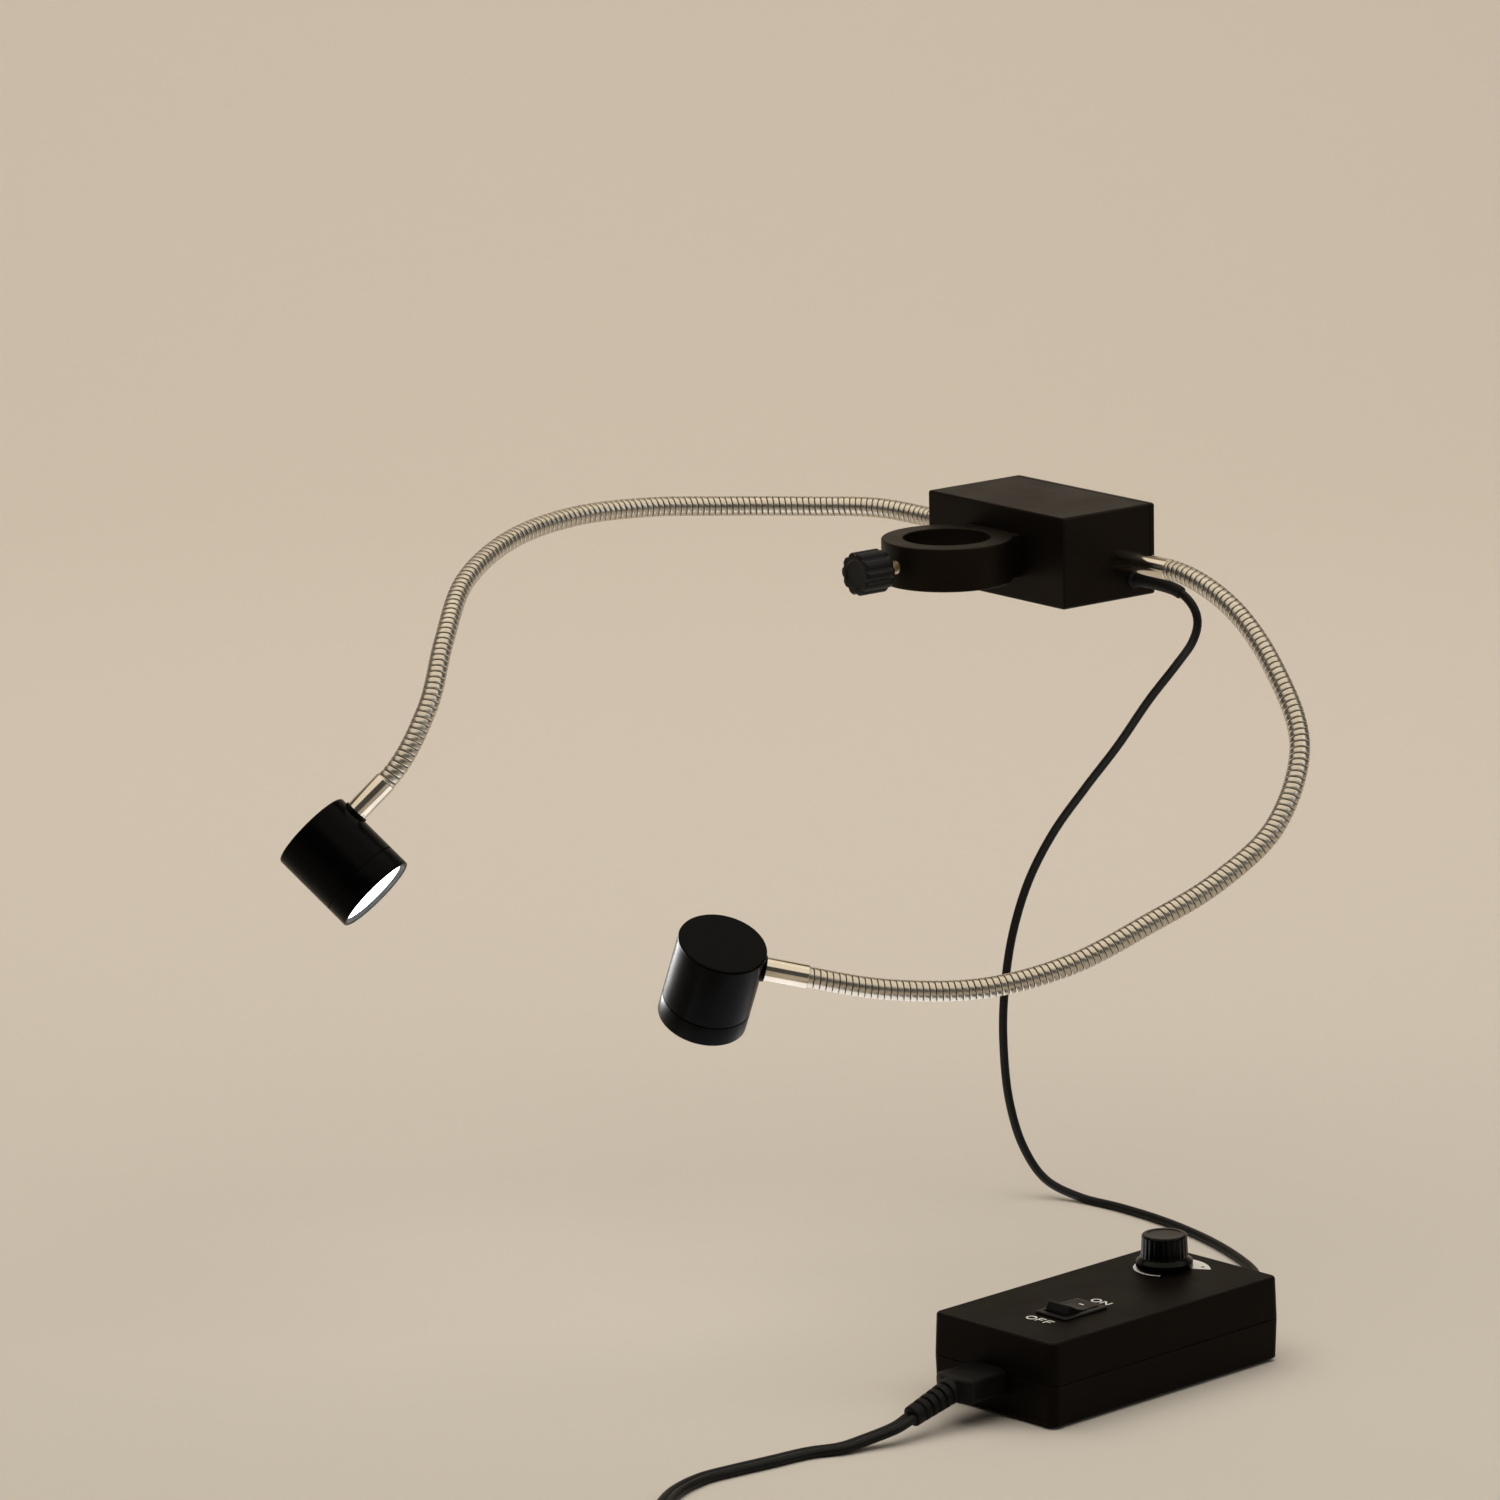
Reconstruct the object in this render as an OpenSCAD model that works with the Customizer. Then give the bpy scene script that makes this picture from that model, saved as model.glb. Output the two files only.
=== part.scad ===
// Dual gooseneck illuminator. A clamp ring and junction box on a pole carry two lamp heads on bending
// necks, and a control box on the table below feeds them. The origin is the centre of the clamp bore.

/* [Clamp] */
// Diameter of the pole that the clamp grips
pole_d = 32; // [28:0.5:38]
// Radial clearance between the pole and the clamp bore
pole_gap = 0.1; // [0.05:0.05:0.2]
// Wall of the clamp ring
ring_wall = 8; // [7:0.5:11]
// Height of the clamp ring
ring_h = 16; // [12:1:22]
// Width of the flat lug between ring and box
lug_w = 30; // [29:1:40]
// How far the lug's flat face lies inside the ring's outer circle
lug_inset = 1; // [0.5:0.25:2]
// Distance of each bracket screw from the middle
bracket_screw_x = 11; // [10:0.5:11.5]
// Diameter of the bracket screws
bracket_screw_d = 4; // [3:0.5:5]
// Depth of the bracket screws in the lug
bracket_screw_in = 6; // [4:0.5:7]
// Diameter of the clamp screw
stud_d = 5; // [4:0.5:6]
// Length of clamp screw that shows between ring and knob
stud_show = 6.5; // [5:0.5:10]
// Depth of the clamp screw inside its knob
stud_grip = 9; // [6:0.5:11]
// Diameter of the clamp knob
clamp_knob_d = 16; // [13:0.5:20]
// Length of the clamp knob
clamp_knob_l = 13; // [12:0.5:18]
// Number of scallops round the clamp knob
clamp_knob_flutes = 10; // [8:1:12]
// Radius of each scallop
clamp_flute_r = 1.6; // [1:0.1:1.8]

/* [Junction box] */
// Width of the box
box_w = 77; // [70:1:95]
// Depth of the box with its cover
box_d = 44; // [42:1:60]
// Height of the box
box_h = 34; // [32:1:44]
// Wall of the box
box_wall = 2.5; // [2:0.25:3.5]
// Radius on the box's long edges
box_edge_r = 1; // [0.5:0.25:1.75]
// Thickness of the rear cover
cover_t = 2.5; // [2:0.25:4]
// Distance of each cover screw from the middle
cover_screw_x = 22; // [20:0.5:26]
// Diameter of the cover screws
cover_screw_d = 3; // [2.5:0.5:3.5]
// Length of the cover screws
cover_screw_l = 10; // [8:0.5:12]
// Side of the square posts for the cover screws
cover_post = 6; // [5.5:0.25:6.5]
// Width of the terminal board
terminal_w = 32; // [26:1:34]
// Depth of the terminal board
terminal_d = 22; // [18:1:24]
// Height of the terminal board above the box floor
terminal_lift = 3; // [2:0.5:4]
// Number of poles on the terminal block
terminal_poles = 4; // [2:1:5]
// Distance of the neck exits behind the box's front face
neck_back = 28; // [26:0.5:30]
// Height of the neck exits above the clamp's middle
neck_up = -2; // [-3:0.5:0]
// From the box's rear edge in to the middle of the lead's hole
lead_in = 7.5; // [6.5:0.25:8]
// Height of the lead exit above the clamp's middle
lead_up = -10; // [-10.5:0.5:-9.5]

/* [Necks] */
// Outside diameter of the neck's conduit
neck_d = 7.5; // [6.5:0.25:8.5]
// Diameter of the wire way through the neck
neck_bore = 3; // [2:0.25:3]
// Depth of the groove between two turns
neck_groove = 0.45; // [0.2:0.05:0.6]
// Ribs along each neck section
neck_ribs = 16; // [10:1:18]
// Gap between two neck sections
neck_gap = 0.9; // [0.8:0.05:0.95]
// Slope of a section's end face
neck_end_slope = 17; // [15:1:22]
// Diameter of the ferrule at the box
base_ferrule_d = 7.8; // [7:0.1:9]
// Length of the ferrule at the box
base_ferrule_l = 26.5; // [20:0.5:32]
// Diameter of the threads that pass through a wall
ferrule_thread_d = 6; // [5:0.5:6.5]
// Height of the lock nut on a base ferrule
nut_h = 3; // [2.5:0.5:4]
// Width of the lock nut across its corners
nut_d = 11; // [10:0.5:11.5]
// Diameter of the ferrule at the lamp head
head_ferrule_d = 8.4; // [7.5:0.1:9.5]
// Length of the ferrule at the lamp head
head_ferrule_l = 17; // [14:0.5:22]
// Diameter of the collar at the lamp head
head_collar_d = 9.6; // [9.6:0.2:11]
// Length of the collar at the lamp head
head_collar_l = 1.6; // [1:0.2:3]

/* [Lamp heads] */
// Diameter of a lamp head
head_d = 32; // [30:0.5:40]
// Length of a lamp head with its bezel
head_l = 34; // [32:0.5:44]
// Length of the bezel
bezel_l = 8; // [6:0.25:9]
// Distance of the neck's entry from the back of the head
entry_back = 7.5; // [6:0.25:8]
// Wall of the head round the wire room
head_wall = 4; // [3:0.25:5]
// Thickness of the head's back
head_back_t = 2.5; // [2:0.25:3]
// Radius on the head's back edge
head_edge_r = 0.8; // [0.4:0.1:1.5]
// Width of the bezel's front lip
bezel_lip = 1.5; // [1.2:0.1:2.5]
// Thickness of the bezel's front lip
bezel_lip_t = 1; // [0.6:0.1:1.4]
// Wall of the bezel round the lens
bezel_wall = 1; // [0.8:0.1:1.1]
// Thickness of the lens
lens_t = 2; // [1.5:0.25:2.5]
// Thickness of the spigot that the bezel screws on
spigot_wall = 1.4; // [1:0.1:1.8]
// Thickness of the heat sink
sink_t = 5; // [4:0.5:7]
// Thickness of the lamp board
lamp_board_t = 1.6; // [1:0.2:2]
// Number of light emitters on a lamp board
emitters = 3; // [1:1:4]
// Radius of the ring of emitters
emitter_ring_r = 5.5; // [5:0.25:6.5]
// Diameter of one emitter's dome
emitter_d = 5; // [4:0.25:6]

/* [Control box] */
// Length of the control box
case_l = 112; // [104:1:130]
// Width of the control box
case_w = 57.5; // [56:0.5:70]
// Height of the lower shell
bottom_h = 14.5; // [13.5:0.5:17]
// Height of the upper shell
top_h = 15; // [14:0.5:20]
// Radius on the upright edges of the shells
case_r = 3; // [2:0.5:4]
// Wall of the shells
case_wall = 2; // [1.5:0.25:2.5]
// Thickness of the floor and of the top
case_floor = 2.2; // [1.8:0.2:2.8]
// Height of the rubber feet
foot_h = 1; // [0.5:0.25:2]
// Diameter of the rubber feet
foot_d = 10; // [8:0.5:12]
// Turn of the control box about the upright
control_turn = 5; // [0:1:8]
// Diameter of the case screws
case_screw_d = 3; // [2.5:0.25:3]
// Diameter of the posts for the case screws
case_post_d = 7; // [6.5:0.25:7.5]
// Height of the driver board above the floor
board_lift = 2.5; // [2:0.25:3.5]
// Width of the driver board
board_w = 36; // [32:1:38]
// Length of the driver board
board_l = 74; // [66:1:76]

/* [Switch and dimmer] */
// Length of the switch frame
switch_l = 21; // [20:0.5:23]
// Width of the switch frame
switch_w = 15; // [14:0.5:17]
// Height of the switch frame's rim above the case
switch_rim = 1; // [0.75:0.25:2.5]
// Depth of the switch body below the top of the case
switch_depth = 12; // [11:0.5:13]
// Length of the rocker
rocker_l = 15.8; // [15:0.2:17.4]
// Width of the rocker
rocker_w = 10.4; // [9.5:0.1:10.4]
// Height of the rocker's ends above its pin
rocker_rise = 4; // [3:0.25:4.5]
// Height of the rocker's waist above its pin
rocker_waist = 2; // [1.5:0.25:2.5]
// Tilt of the rocker at either end of its throw
rocker_tilt = 12; // [8:1:14]
// Diameter of the rocker's pin
rocker_pin_d = 2; // [1.5:0.25:2.5]
// Diameter of the dimmer knob's skirt
knob_skirt_d = 20; // [18:0.5:24]
// Height of the dimmer knob's skirt
knob_skirt_h = 3; // [2.5:0.25:4]
// Diameter of the dimmer knob's barrel
knob_d = 16; // [14:0.5:17]
// Height of the dimmer knob's top above the case
knob_top = 12.5; // [12:0.5:18]
// Gap between the dimmer knob and the case
knob_gap = 0.8; // [0.5:0.1:1]
// Number of flutes round the dimmer knob
knob_flutes = 24; // [18:1:28]
// Diameter of the dimmer's shaft
shaft_d = 6; // [5:0.5:6]
// Diameter of the dimmer's bush
bush_d = 8; // [7.5:0.25:9]
// Diameter of the dimmer's body
dimmer_d = 16; // [14:0.5:18]
// Depth of the dimmer's body below the top of the case
dimmer_depth = 9; // [8:0.5:10]
// Height of the dimmer's nut
dimmer_nut_h = 2; // [1.5:0.25:2.5]

/* [Mains lead] */
// Width of the mains inlet
inlet_w = 20; // [19:0.5:23]
// Height of the mains inlet
inlet_h = 12.5; // [11.5:0.5:14]
// Depth of the mains inlet
inlet_l = 16; // [15:0.5:17]
// Width of the inlet's socket
socket_w = 16; // [15:0.25:17]
// Height of the inlet's socket
socket_h = 8.8; // [8:0.2:9.4]
// Depth of the inlet's socket
socket_l = 12; // [11:0.5:13]
// Spacing of the two inlet pins
pin_pitch = 8.6; // [8:0.1:9]
// Diameter of the inlet pins
pin_d = 2.4; // [2:0.1:2.6]
// Width of the connector's grip
grip_w = 18; // [17:0.5:20]
// Height of the connector's grip
grip_h = 9.6; // [9:0.2:11]
// Length of the connector's grip
grip_l = 18; // [14:0.5:22]
// Length of the connector's strain relief
relief_l = 21; // [20:0.5:26]
// Downward tilt of the strain relief
relief_tilt = 15; // [10:1:22]
// Width of the flat mains cord
mains_w = 6; // [5.5:0.25:6.5]
// Thickness of the flat mains cord
mains_t = 3.2; // [2.8:0.1:3.6]
// Turns in each of the coil's two layers
coil_turns = 3; // [2:1:3]
// Middle radius of the coil
coil_r = 33; // [32:0.5:34]
// Gap between two turns of the coil
coil_gap = 0.8; // [0.6:0.1:1]
// Thickness of the tie round the coil
tie_t = 0.8; // [0.5:0.1:1]
// Width of the tie round the coil
tie_w = 7; // [5:0.5:7]
// Width of the mains plug
plug_w = 25; // [22:0.5:28]
// Thickness of the mains plug
plug_t = 17; // [15:0.5:18]
// Length of the mains plug's body
plug_l = 24; // [20:0.5:30]
// Length of the plug's cord sleeve
plug_sleeve_l = 12; // [8:0.5:16]
// Length of the plug's blades
blade_l = 17; // [15:0.5:19]
// Width of the plug's blades
blade_w = 6.3; // [6:0.1:6.6]
// Thickness of the plug's blades
blade_t = 1.5; // [1.3:0.1:1.7]
// Spacing of the plug's blades
blade_pitch = 12.7; // [12:0.1:13]

/* [Low-voltage lead] */
// Diameter of the round lead
lead_d = 3.2; // [2.8:0.1:3.6]
// Diameter of the lead bushes' flanges
bush_flange_d = 7; // [6.5:0.25:7.5]
// Thickness of the lead bushes' flanges
bush_flange_t = 1.5; // [1:0.25:2]
// Length of the sleeve where the lead enters the control box
sleeve_l = 12; // [10:0.5:16]

/* [Hidden] */
$fn = 64;
// Cuts run past the faces they open by this much
over = 1;
// Radial clearance of shafts, pins and threads in their holes
run_gap = 0.05;
// Clearance between parts that seat in one another
seat_gap = 0.1;
// Clearance between parts that move past one another
move_gap = 0.3;

bore_r = pole_d / 2 + pole_gap;
ring_r = bore_r + ring_wall;
box_y = ring_r - lug_inset;
// The clamp screw's tip stays this far behind the bore wall at rest
stud_back = 0.2;
screw_head_d = 7;
screw_head_h = 3.5;
box_rear = box_y + box_d;
shell_rear = box_rear - cover_t;
box_floor = -box_h / 2 + box_wall;
cover_post_z = box_h / 2 - box_wall - cover_post / 2;
terminal_back = 20;
terminal_y = box_y + terminal_back;
terminal_post_x = 12;
terminal_post_r = 2.5;
terminal_t = 1.6;
terminal_pole_w = 6;
terminal_block_d = 9;
terminal_block_h = 8;
neck_y = box_y + neck_back;
lead_y = shell_rear - lead_in;
ferrule_thread_r = ferrule_thread_d / 2;
thread_show = 1;
base_flange_w = 0.6;
base_flange_t = 1;

// Neck routes, as steps from the end of each base ferrule, with a bending point at every second one
right_steps = [[0, 0, 0], [30, 2, -9], [56, 0, -28], [76, -6, -52], [83, -24, -77], [80, -49, -94],
    [73, -75, -106], [63, -103, -118], [50, -132, -124], [33, -160, -123], [17, -185, -117]];
left_steps = [[0, 0, 0], [-27, -8, 2], [-49, -26, 2], [-66, -51, 3], [-77, -81, 5], [-81, -113, 5],
    [-77, -145, 1], [-66, -174, -9], [-51, -195, -26], [-41, -211, -48], [-42, -229, -71.4]];
// Way from the neck's end to the head, and way of the beam
right_entry = [-0.55, -0.80, 0.23];
right_beam = [-0.47, 0.07, -0.88];
left_entry = [-0.35, -0.63, -0.70];
left_beam = [0.66, 0.36, -0.66];
neck_sections = 5;
steps_per_section = 2;
neck_sides = 8;
neck_r = neck_d / 2;
neck_bore_r = neck_bore / 2;
neck_half_gap = neck_gap / 2;
neck_start_x = box_w / 2 + base_ferrule_l;

head_r = head_d / 2;
// The collar of the head's ferrule sits on a flat cut this deep in the round wall
seat_depth = 0.8;
seat_x = head_r - seat_depth;
can_front = head_l - entry_back - bezel_l;
bezel_front = can_front + bezel_l;
lens_r = head_r - bezel_wall;
lens_front = bezel_front - bezel_lip_t;
lens_back = lens_front - lens_t;
spigot_r = lens_r - run_gap;
spigot_front = lens_back - run_gap;
wire_room_r = head_r - head_wall;
sink_back = ferrule_thread_r + 3;
sink_r = spigot_r - spigot_wall - seat_gap;
board_back = sink_back + sink_t;
lamp_board_r = sink_r - 1;
emitter_back = board_back + lamp_board_t;
emitter_base_h = 1;
emitter_dome_h = 2;
wire_hole_r = 1.5;
wire_hole_x = lamp_board_r - 2.5;
groove_h = 0.4;
groove_depth = 0.5;

// Place of the control box on the table
table_z = -248;
control_pos = [194, -93.8, table_z];
seam_z = foot_h + bottom_h;
case_top_z = seam_z + top_h;
inner_top_z = case_top_z - case_floor;
inner_floor_z = foot_h + case_floor;
// The case posts run this far into the walls beside them
post_bite = 0.5;
case_post_x = case_w / 2 - case_wall - case_post_d / 2 + post_bite;
case_post_y = case_l / 2 - case_wall - case_post_d / 2 + post_bite;
case_screw_l = 16;
case_head_d = 5.6;
case_head_h = 2.4;
foot_in_x = 10;
foot_in_y = 20;
foot_x = case_w / 2 - foot_in_x;
foot_y = case_l / 2 - foot_in_y;
board_t = 1.6;
board_post_r = 3;
board_y = 8;
board_z = inner_floor_z + board_lift;
board_post_in = 4;
board_post_x = board_w / 2 - board_post_in;
board_post_y = board_l / 2 - board_post_in;
transformer_size = [22, 18, 8];
transformer_corner = [-12, -10, 0];
capacitor_d = 9;
capacitor_h = 6;
capacitor_y = -26;
capacitor_xs = [-10, 2];
choke_d = 12;
choke_h = 6;
choke_place = [10, 18, 0];
switch_x = 5.5;
switch_back = 32.8;
switch_y = switch_back - case_l / 2;
pin_drop = 1;
pin_z = case_top_z - pin_drop;
switch_lip = 1;
switch_body_w = switch_w - 2 * switch_lip;
switch_body_l = switch_l - 2 * switch_lip;
switch_floor = 1.5;
rocker_pin_reach = 0.8;
knob_in_x = 22.1;
knob_in_y = 20.2;
knob_x = knob_in_x - case_w / 2;
knob_y = case_l / 2 - knob_in_y;
knob_crown = 2;
shaft_top = case_top_z + knob_top - knob_crown;
nut_flat_d = bush_d + 4;
dimmer_floor = 2;
bush_show = 0.3;
flute_r = 0.6;
flute_out = 0.15;
inlet_x = -1;
inlet_z = 13;
inlet_flange = 1.5;
pin_tag_l = 2;
pin_tag_d = 3.6;
case_near = -case_l / 2;
sleeve_x = -10;
sleeve_z = 10;
relief_r1 = grip_h / 2 - 0.2;
relief_r2 = 3.7;
relief_ribs = 5;
relief_rib_step = 3.2;
relief_rib_w = 1.3;
relief_groove_r = 3.4;
relief_root = 3;
bush_neck_r = bush_flange_d / 2 - 1;
sleeve_tip = 0.6;

// Low-voltage lead: steps from the bush on the box, points on the way down and along the table, and
// steps in the control box's frame from the mouth of its sleeve
lead_drop = [[3, 0, 0], [10, 0, 0], [22, 0, -1], [30, 0, -5], [33, 0, -11], [30, 0, -19], [21, 0, -29]];
lead_run = [[48, 55, -54], [33, 53, -73], [18, 50, -91], [4, 46, -110], [-5, 41, -130], [-9, 36, -152],
    [-9, 32, -175], [-8, 31, -195], [-5, 31, -213], [0, 33, -229], [8, 37, -241], [22, 42, -246],
    [42, 45, -246.4], [66, 45, -246.4], [92, 41.5, -246.4], [116, 35, -246.4], [137, 26, -246.4],
    [152, 14.5, -246.4]];
lead_rise = [[-8, 29, -7.5], [-1.6, 18, -4.2], [0, 5, 0], [0, 0, 0]];
lead_rings = 58;
cord_sides = 8;
// Mains cord: steps from the end of the strain relief, then points on the table as far as the coil
mains_drop = [[-1.5, -19, -4.4], [-3, -28, -5.6]];
mains_run = [[194, -227, -246.4], [193, -243, -246.4], [192, -258, -246.4], [192, -270, -246.4],
    [196, -283, -246.4], [203, -294, -246.4], [214, -306, -246.4], [227, -319, -246.2],
    [238, -332, -245.6], [245, -346, -245]];
mains_rings = 20;
tail_rings = 3;
tail_rise = 0.6;
relief_straight = 8;
coil_centre = [290, -365];
coil_rings = 24;
coil_sides = 6;
coil_lead = mains_w;
// The climb from the lower layer dips this far inside the innermost turn
coil_dip = 1.5;
tail_l = 18;
climb_turns = 0.5;
tie_gap = 0.7;
tie_r_out = 1.5;
coil_lift = tie_t + tie_gap;
plug_round = 4;
plug_sleeve_r1 = 3.8;
plug_sleeve_r2 = 6.5;

black_paint = "#1c1b1b";
black_plastic = "#141414";
nickel = "#b9b4a8";
steel = "#8d8f92";
board_green = "#2c5a3c";

function unit(v) = v / norm(v);

// Smooth curve through points p with end directions a and b, at distance u counted in points
function slope_at(p, a, b, i) =
    i == 0 ? unit(a) * norm(p[1] - p[0]) :
    i == len(p) - 1 ? unit(b) * norm(p[i] - p[i - 1]) : (p[i + 1] - p[i - 1]) / 2;
function curve_at(p, a, b, u) =
    let (i = min(floor(u), len(p) - 2), t = u - i)
    let (m0 = slope_at(p, a, b, i), m1 = slope_at(p, a, b, i + 1))
    (2 * t ^ 3 - 3 * t ^ 2 + 1) * p[i] + (t ^ 3 - 2 * t ^ 2 + t) * m0
    + (3 * t ^ 2 - 2 * t ^ 3) * p[i + 1] + (t ^ 3 - t ^ 2) * m1;
function curve_way(p, a, b, u) =
    let (i = min(floor(u), len(p) - 2), t = u - i)
    let (m0 = slope_at(p, a, b, i), m1 = slope_at(p, a, b, i + 1))
    unit((6 * t ^ 2 - 6 * t) * (p[i] - p[i + 1]) + (3 * t ^ 2 - 4 * t + 1) * m0
        + (3 * t ^ 2 - 2 * t) * m1);

// Side directions carried along a list of ways without twisting
function carried(ways, first) =
    [for (i = 0, n = unit(first - (first * ways[0]) * ways[0]);
        i < len(ways);
        i = i + 1, n = i < len(ways) ? unit(n - (n * ways[i]) * ways[i]) : n) n];

// Ring of points with half width w along n and half height h along the other side
function ring_at(c, way, n, w, h, sides) =
    let (b = cross(way, n))
    [for (k = [0:sides - 1]) let (q = 360 * k / sides) c + w * cos(q) * n + h * sin(q) * b];

// Skin over rings; a closed skin joins its last ring to its first, an open one has flat ends
module skin(rings, closed) {
    sides = len(rings[0]);
    count = len(rings);
    walls = [for (i = [0:count - (closed ? 1 : 2)], k = [0:sides - 1])
        let (j = (i + 1) % count, m = (k + 1) % sides)
        each [[i * sides + k, j * sides + m, i * sides + m],
            [i * sides + k, j * sides + k, j * sides + m]]];
    last = (count - 1) * sides;
    ends = closed ? [] : [for (k = [1:sides - 2])
        each [[0, k, k + 1], [last, last + k + 1, last + k]]];
    polyhedron(points = [for (r = rings) each r], faces = concat(walls, ends), convexity = 10);
}

module rounded_rect(w, h, r) {
    square([w - 2 * r, h], center = true);
    square([w, h - 2 * r], center = true);
    for (x = [-1, 1], y = [-1, 1]) {
        translate([x * (w / 2 - r), y * (h / 2 - r)]) circle(r);
    }
}

module stadium(w, h) {
    square([w - h, h], center = true);
    for (x = [-1, 1]) {
        translate([x * (w - h) / 2, 0]) circle(h / 2);
    }
}

// Cylinder from a point along +X, -X, +Y or -Y
module along_x(h, r) { rotate([0, 90, 0]) cylinder(h = h, r = r); }
module along_y(h, r) { rotate([-90, 0, 0]) cylinder(h = h, r = r); }

module pan_screw(d, l, head_d, head_h) {
    cylinder(h = l, r = d / 2);
    difference() {
        translate([0, 0, -head_h]) cylinder(h = head_h, r = head_d / 2);
        translate([0, 0, -head_h - over]) cylinder(h = head_h / 2 + over, r = head_d / 4, $fn = 6);
    }
}

module clamp_ring() color(black_paint) difference() {
    union() {
        cylinder(h = ring_h, r = ring_r, center = true);
        translate([-lug_w / 2, 0, -ring_h / 2]) cube([lug_w, box_y, ring_h]);
    }
    cylinder(h = ring_h + 2 * over, r = bore_r, center = true);
    translate([-ring_r, box_y, -ring_h / 2 - over]) cube([2 * ring_r, ring_r, ring_h + 2 * over]);
    mirror([0, 1, 0]) along_y(ring_r + over, stud_d / 2 + run_gap);
    for (x = [-1, 1]) {
        translate([x * bracket_screw_x, box_y - bracket_screw_in - over, 0])
            along_y(bracket_screw_in + 2 * over, bracket_screw_d / 2 + run_gap);
    }
}

module bracket_screws() color(steel) for (x = [-1, 1]) {
    translate([x * bracket_screw_x, box_y + box_wall, 0]) rotate([90, 0, 0])
        pan_screw(bracket_screw_d, bracket_screw_in + box_wall, screw_head_d, screw_head_h);
}

module clamp_stud() color(nickel) translate([0, -bore_r - stud_back, 0]) rotate([90, 0, 0])
    cylinder(h = ring_wall - stud_back + stud_show + stud_grip, r = stud_d / 2);

module clamp_knob() color(black_plastic) translate([0, -ring_r - stud_show, 0]) rotate([90, 0, 0])
    difference() {
        cylinder(h = clamp_knob_l, r = clamp_knob_d / 2);
        translate([0, 0, -over]) cylinder(h = stud_grip + run_gap + over, r = stud_d / 2 + run_gap);
        for (k = [0:clamp_knob_flutes - 1]) {
            rotate(360 * k / clamp_knob_flutes)
                translate([clamp_knob_d / 2 + clamp_flute_r / 2, 0, -over])
                    cylinder(h = clamp_knob_l + 2 * over, r = clamp_flute_r, $fn = 32);
        }
    }

module box_block(w, h, d, r) { rotate([-90, 0, 0]) linear_extrude(d) rounded_rect(w, h, r); }

module box_shell() color(black_paint) difference() {
    union() {
        difference() {
            translate([0, box_y, 0]) box_block(box_w, box_h, box_d - cover_t, box_edge_r);
            translate([-box_w / 2 + box_wall, box_y + box_wall, box_floor])
                cube([box_w - 2 * box_wall, box_d, box_h - 2 * box_wall]);
        }
        for (x = [-1, 1], z = [-1, 1]) {
            translate([x * cover_screw_x - cover_post / 2, shell_rear - cover_screw_l - over,
                z * cover_post_z - cover_post / 2]) cube([cover_post, cover_screw_l + over, cover_post]);
        }
        for (x = [-1, 1]) {
            translate([x * terminal_post_x, terminal_y, box_floor])
                cylinder(h = terminal_lift, r = terminal_post_r);
        }
    }
    for (x = [-1, 1]) {
        translate([x * bracket_screw_x, box_y - over, 0])
            along_y(box_wall + 2 * over, bracket_screw_d / 2 + run_gap);
        mirror([x < 0 ? 1 : 0, 0, 0]) translate([box_w / 2 - box_wall - over, neck_y, neck_up])
            along_x(box_wall + 2 * over, ferrule_thread_r + run_gap);
    }
    translate([box_w / 2 - box_wall - over, lead_y, lead_up])
        along_x(box_wall + 2 * over, bush_neck_r + run_gap);
    for (x = [-1, 1], z = [-1, 1]) {
        translate([x * cover_screw_x, shell_rear - cover_screw_l + cover_t - over / 2, z * cover_post_z])
            along_y(cover_screw_l, cover_screw_d / 2 + run_gap);
    }
}

module box_cover() color(black_paint) difference() {
    translate([0, shell_rear, 0]) box_block(box_w, box_h, cover_t, box_edge_r);
    for (x = [-1, 1], z = [-1, 1]) {
        translate([x * cover_screw_x, shell_rear - over, z * cover_post_z])
            along_y(cover_t + 2 * over, cover_screw_d / 2 + run_gap);
    }
}

module cover_screws() color(steel) for (x = [-1, 1], z = [-1, 1]) {
    translate([x * cover_screw_x, box_rear, z * cover_post_z]) rotate([90, 0, 0])
        pan_screw(cover_screw_d, cover_screw_l, 2 * cover_screw_d, cover_screw_d / 2);
}

module neck_nuts() color(nickel) for (x = [0, 1]) {
    mirror([x, 0, 0]) translate([box_w / 2 - box_wall - nut_h, neck_y, neck_up]) rotate([0, 90, 0])
        difference() {
            cylinder(h = nut_h, r = nut_d / 2, $fn = 6);
            translate([0, 0, -over]) cylinder(h = nut_h + 2 * over, r = ferrule_thread_r + run_gap);
        }
}

module terminal_board() color(board_green)
    translate([-terminal_w / 2, terminal_y - terminal_d / 2, box_floor + terminal_lift])
        cube([terminal_w, terminal_d, terminal_t]);

module terminal_block() color("#d9d6cc") difference() {
    width = terminal_poles * terminal_pole_w;
    base = box_floor + terminal_lift + terminal_t;
    translate([-width / 2, terminal_y - terminal_block_d / 2, base])
        cube([width, terminal_block_d, terminal_block_h]);
    for (k = [0:terminal_poles - 1]) {
        translate([(k + 0.5) * terminal_pole_w - width / 2, terminal_y, base + terminal_block_h / 2])
            cylinder(h = terminal_block_h, r = terminal_pole_w / 3);
    }
}

// Rubber bush: a flange each side of the wall and a bore for the lead
module lead_bush() color(black_plastic) translate([box_w / 2, lead_y, lead_up]) rotate([0, 90, 0])
    rotate_extrude() polygon([
        [lead_d / 2, -box_wall - bush_flange_t], [bush_flange_d / 2, -box_wall - bush_flange_t],
        [bush_flange_d / 2, -box_wall], [bush_neck_r, -box_wall], [bush_neck_r, 0],
        [bush_flange_d / 2, 0], [bush_flange_d / 2, bush_flange_t / 2],
        [bush_flange_d / 2 - bush_flange_t / 2, bush_flange_t], [lead_d / 2, bush_flange_t]]);

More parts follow.
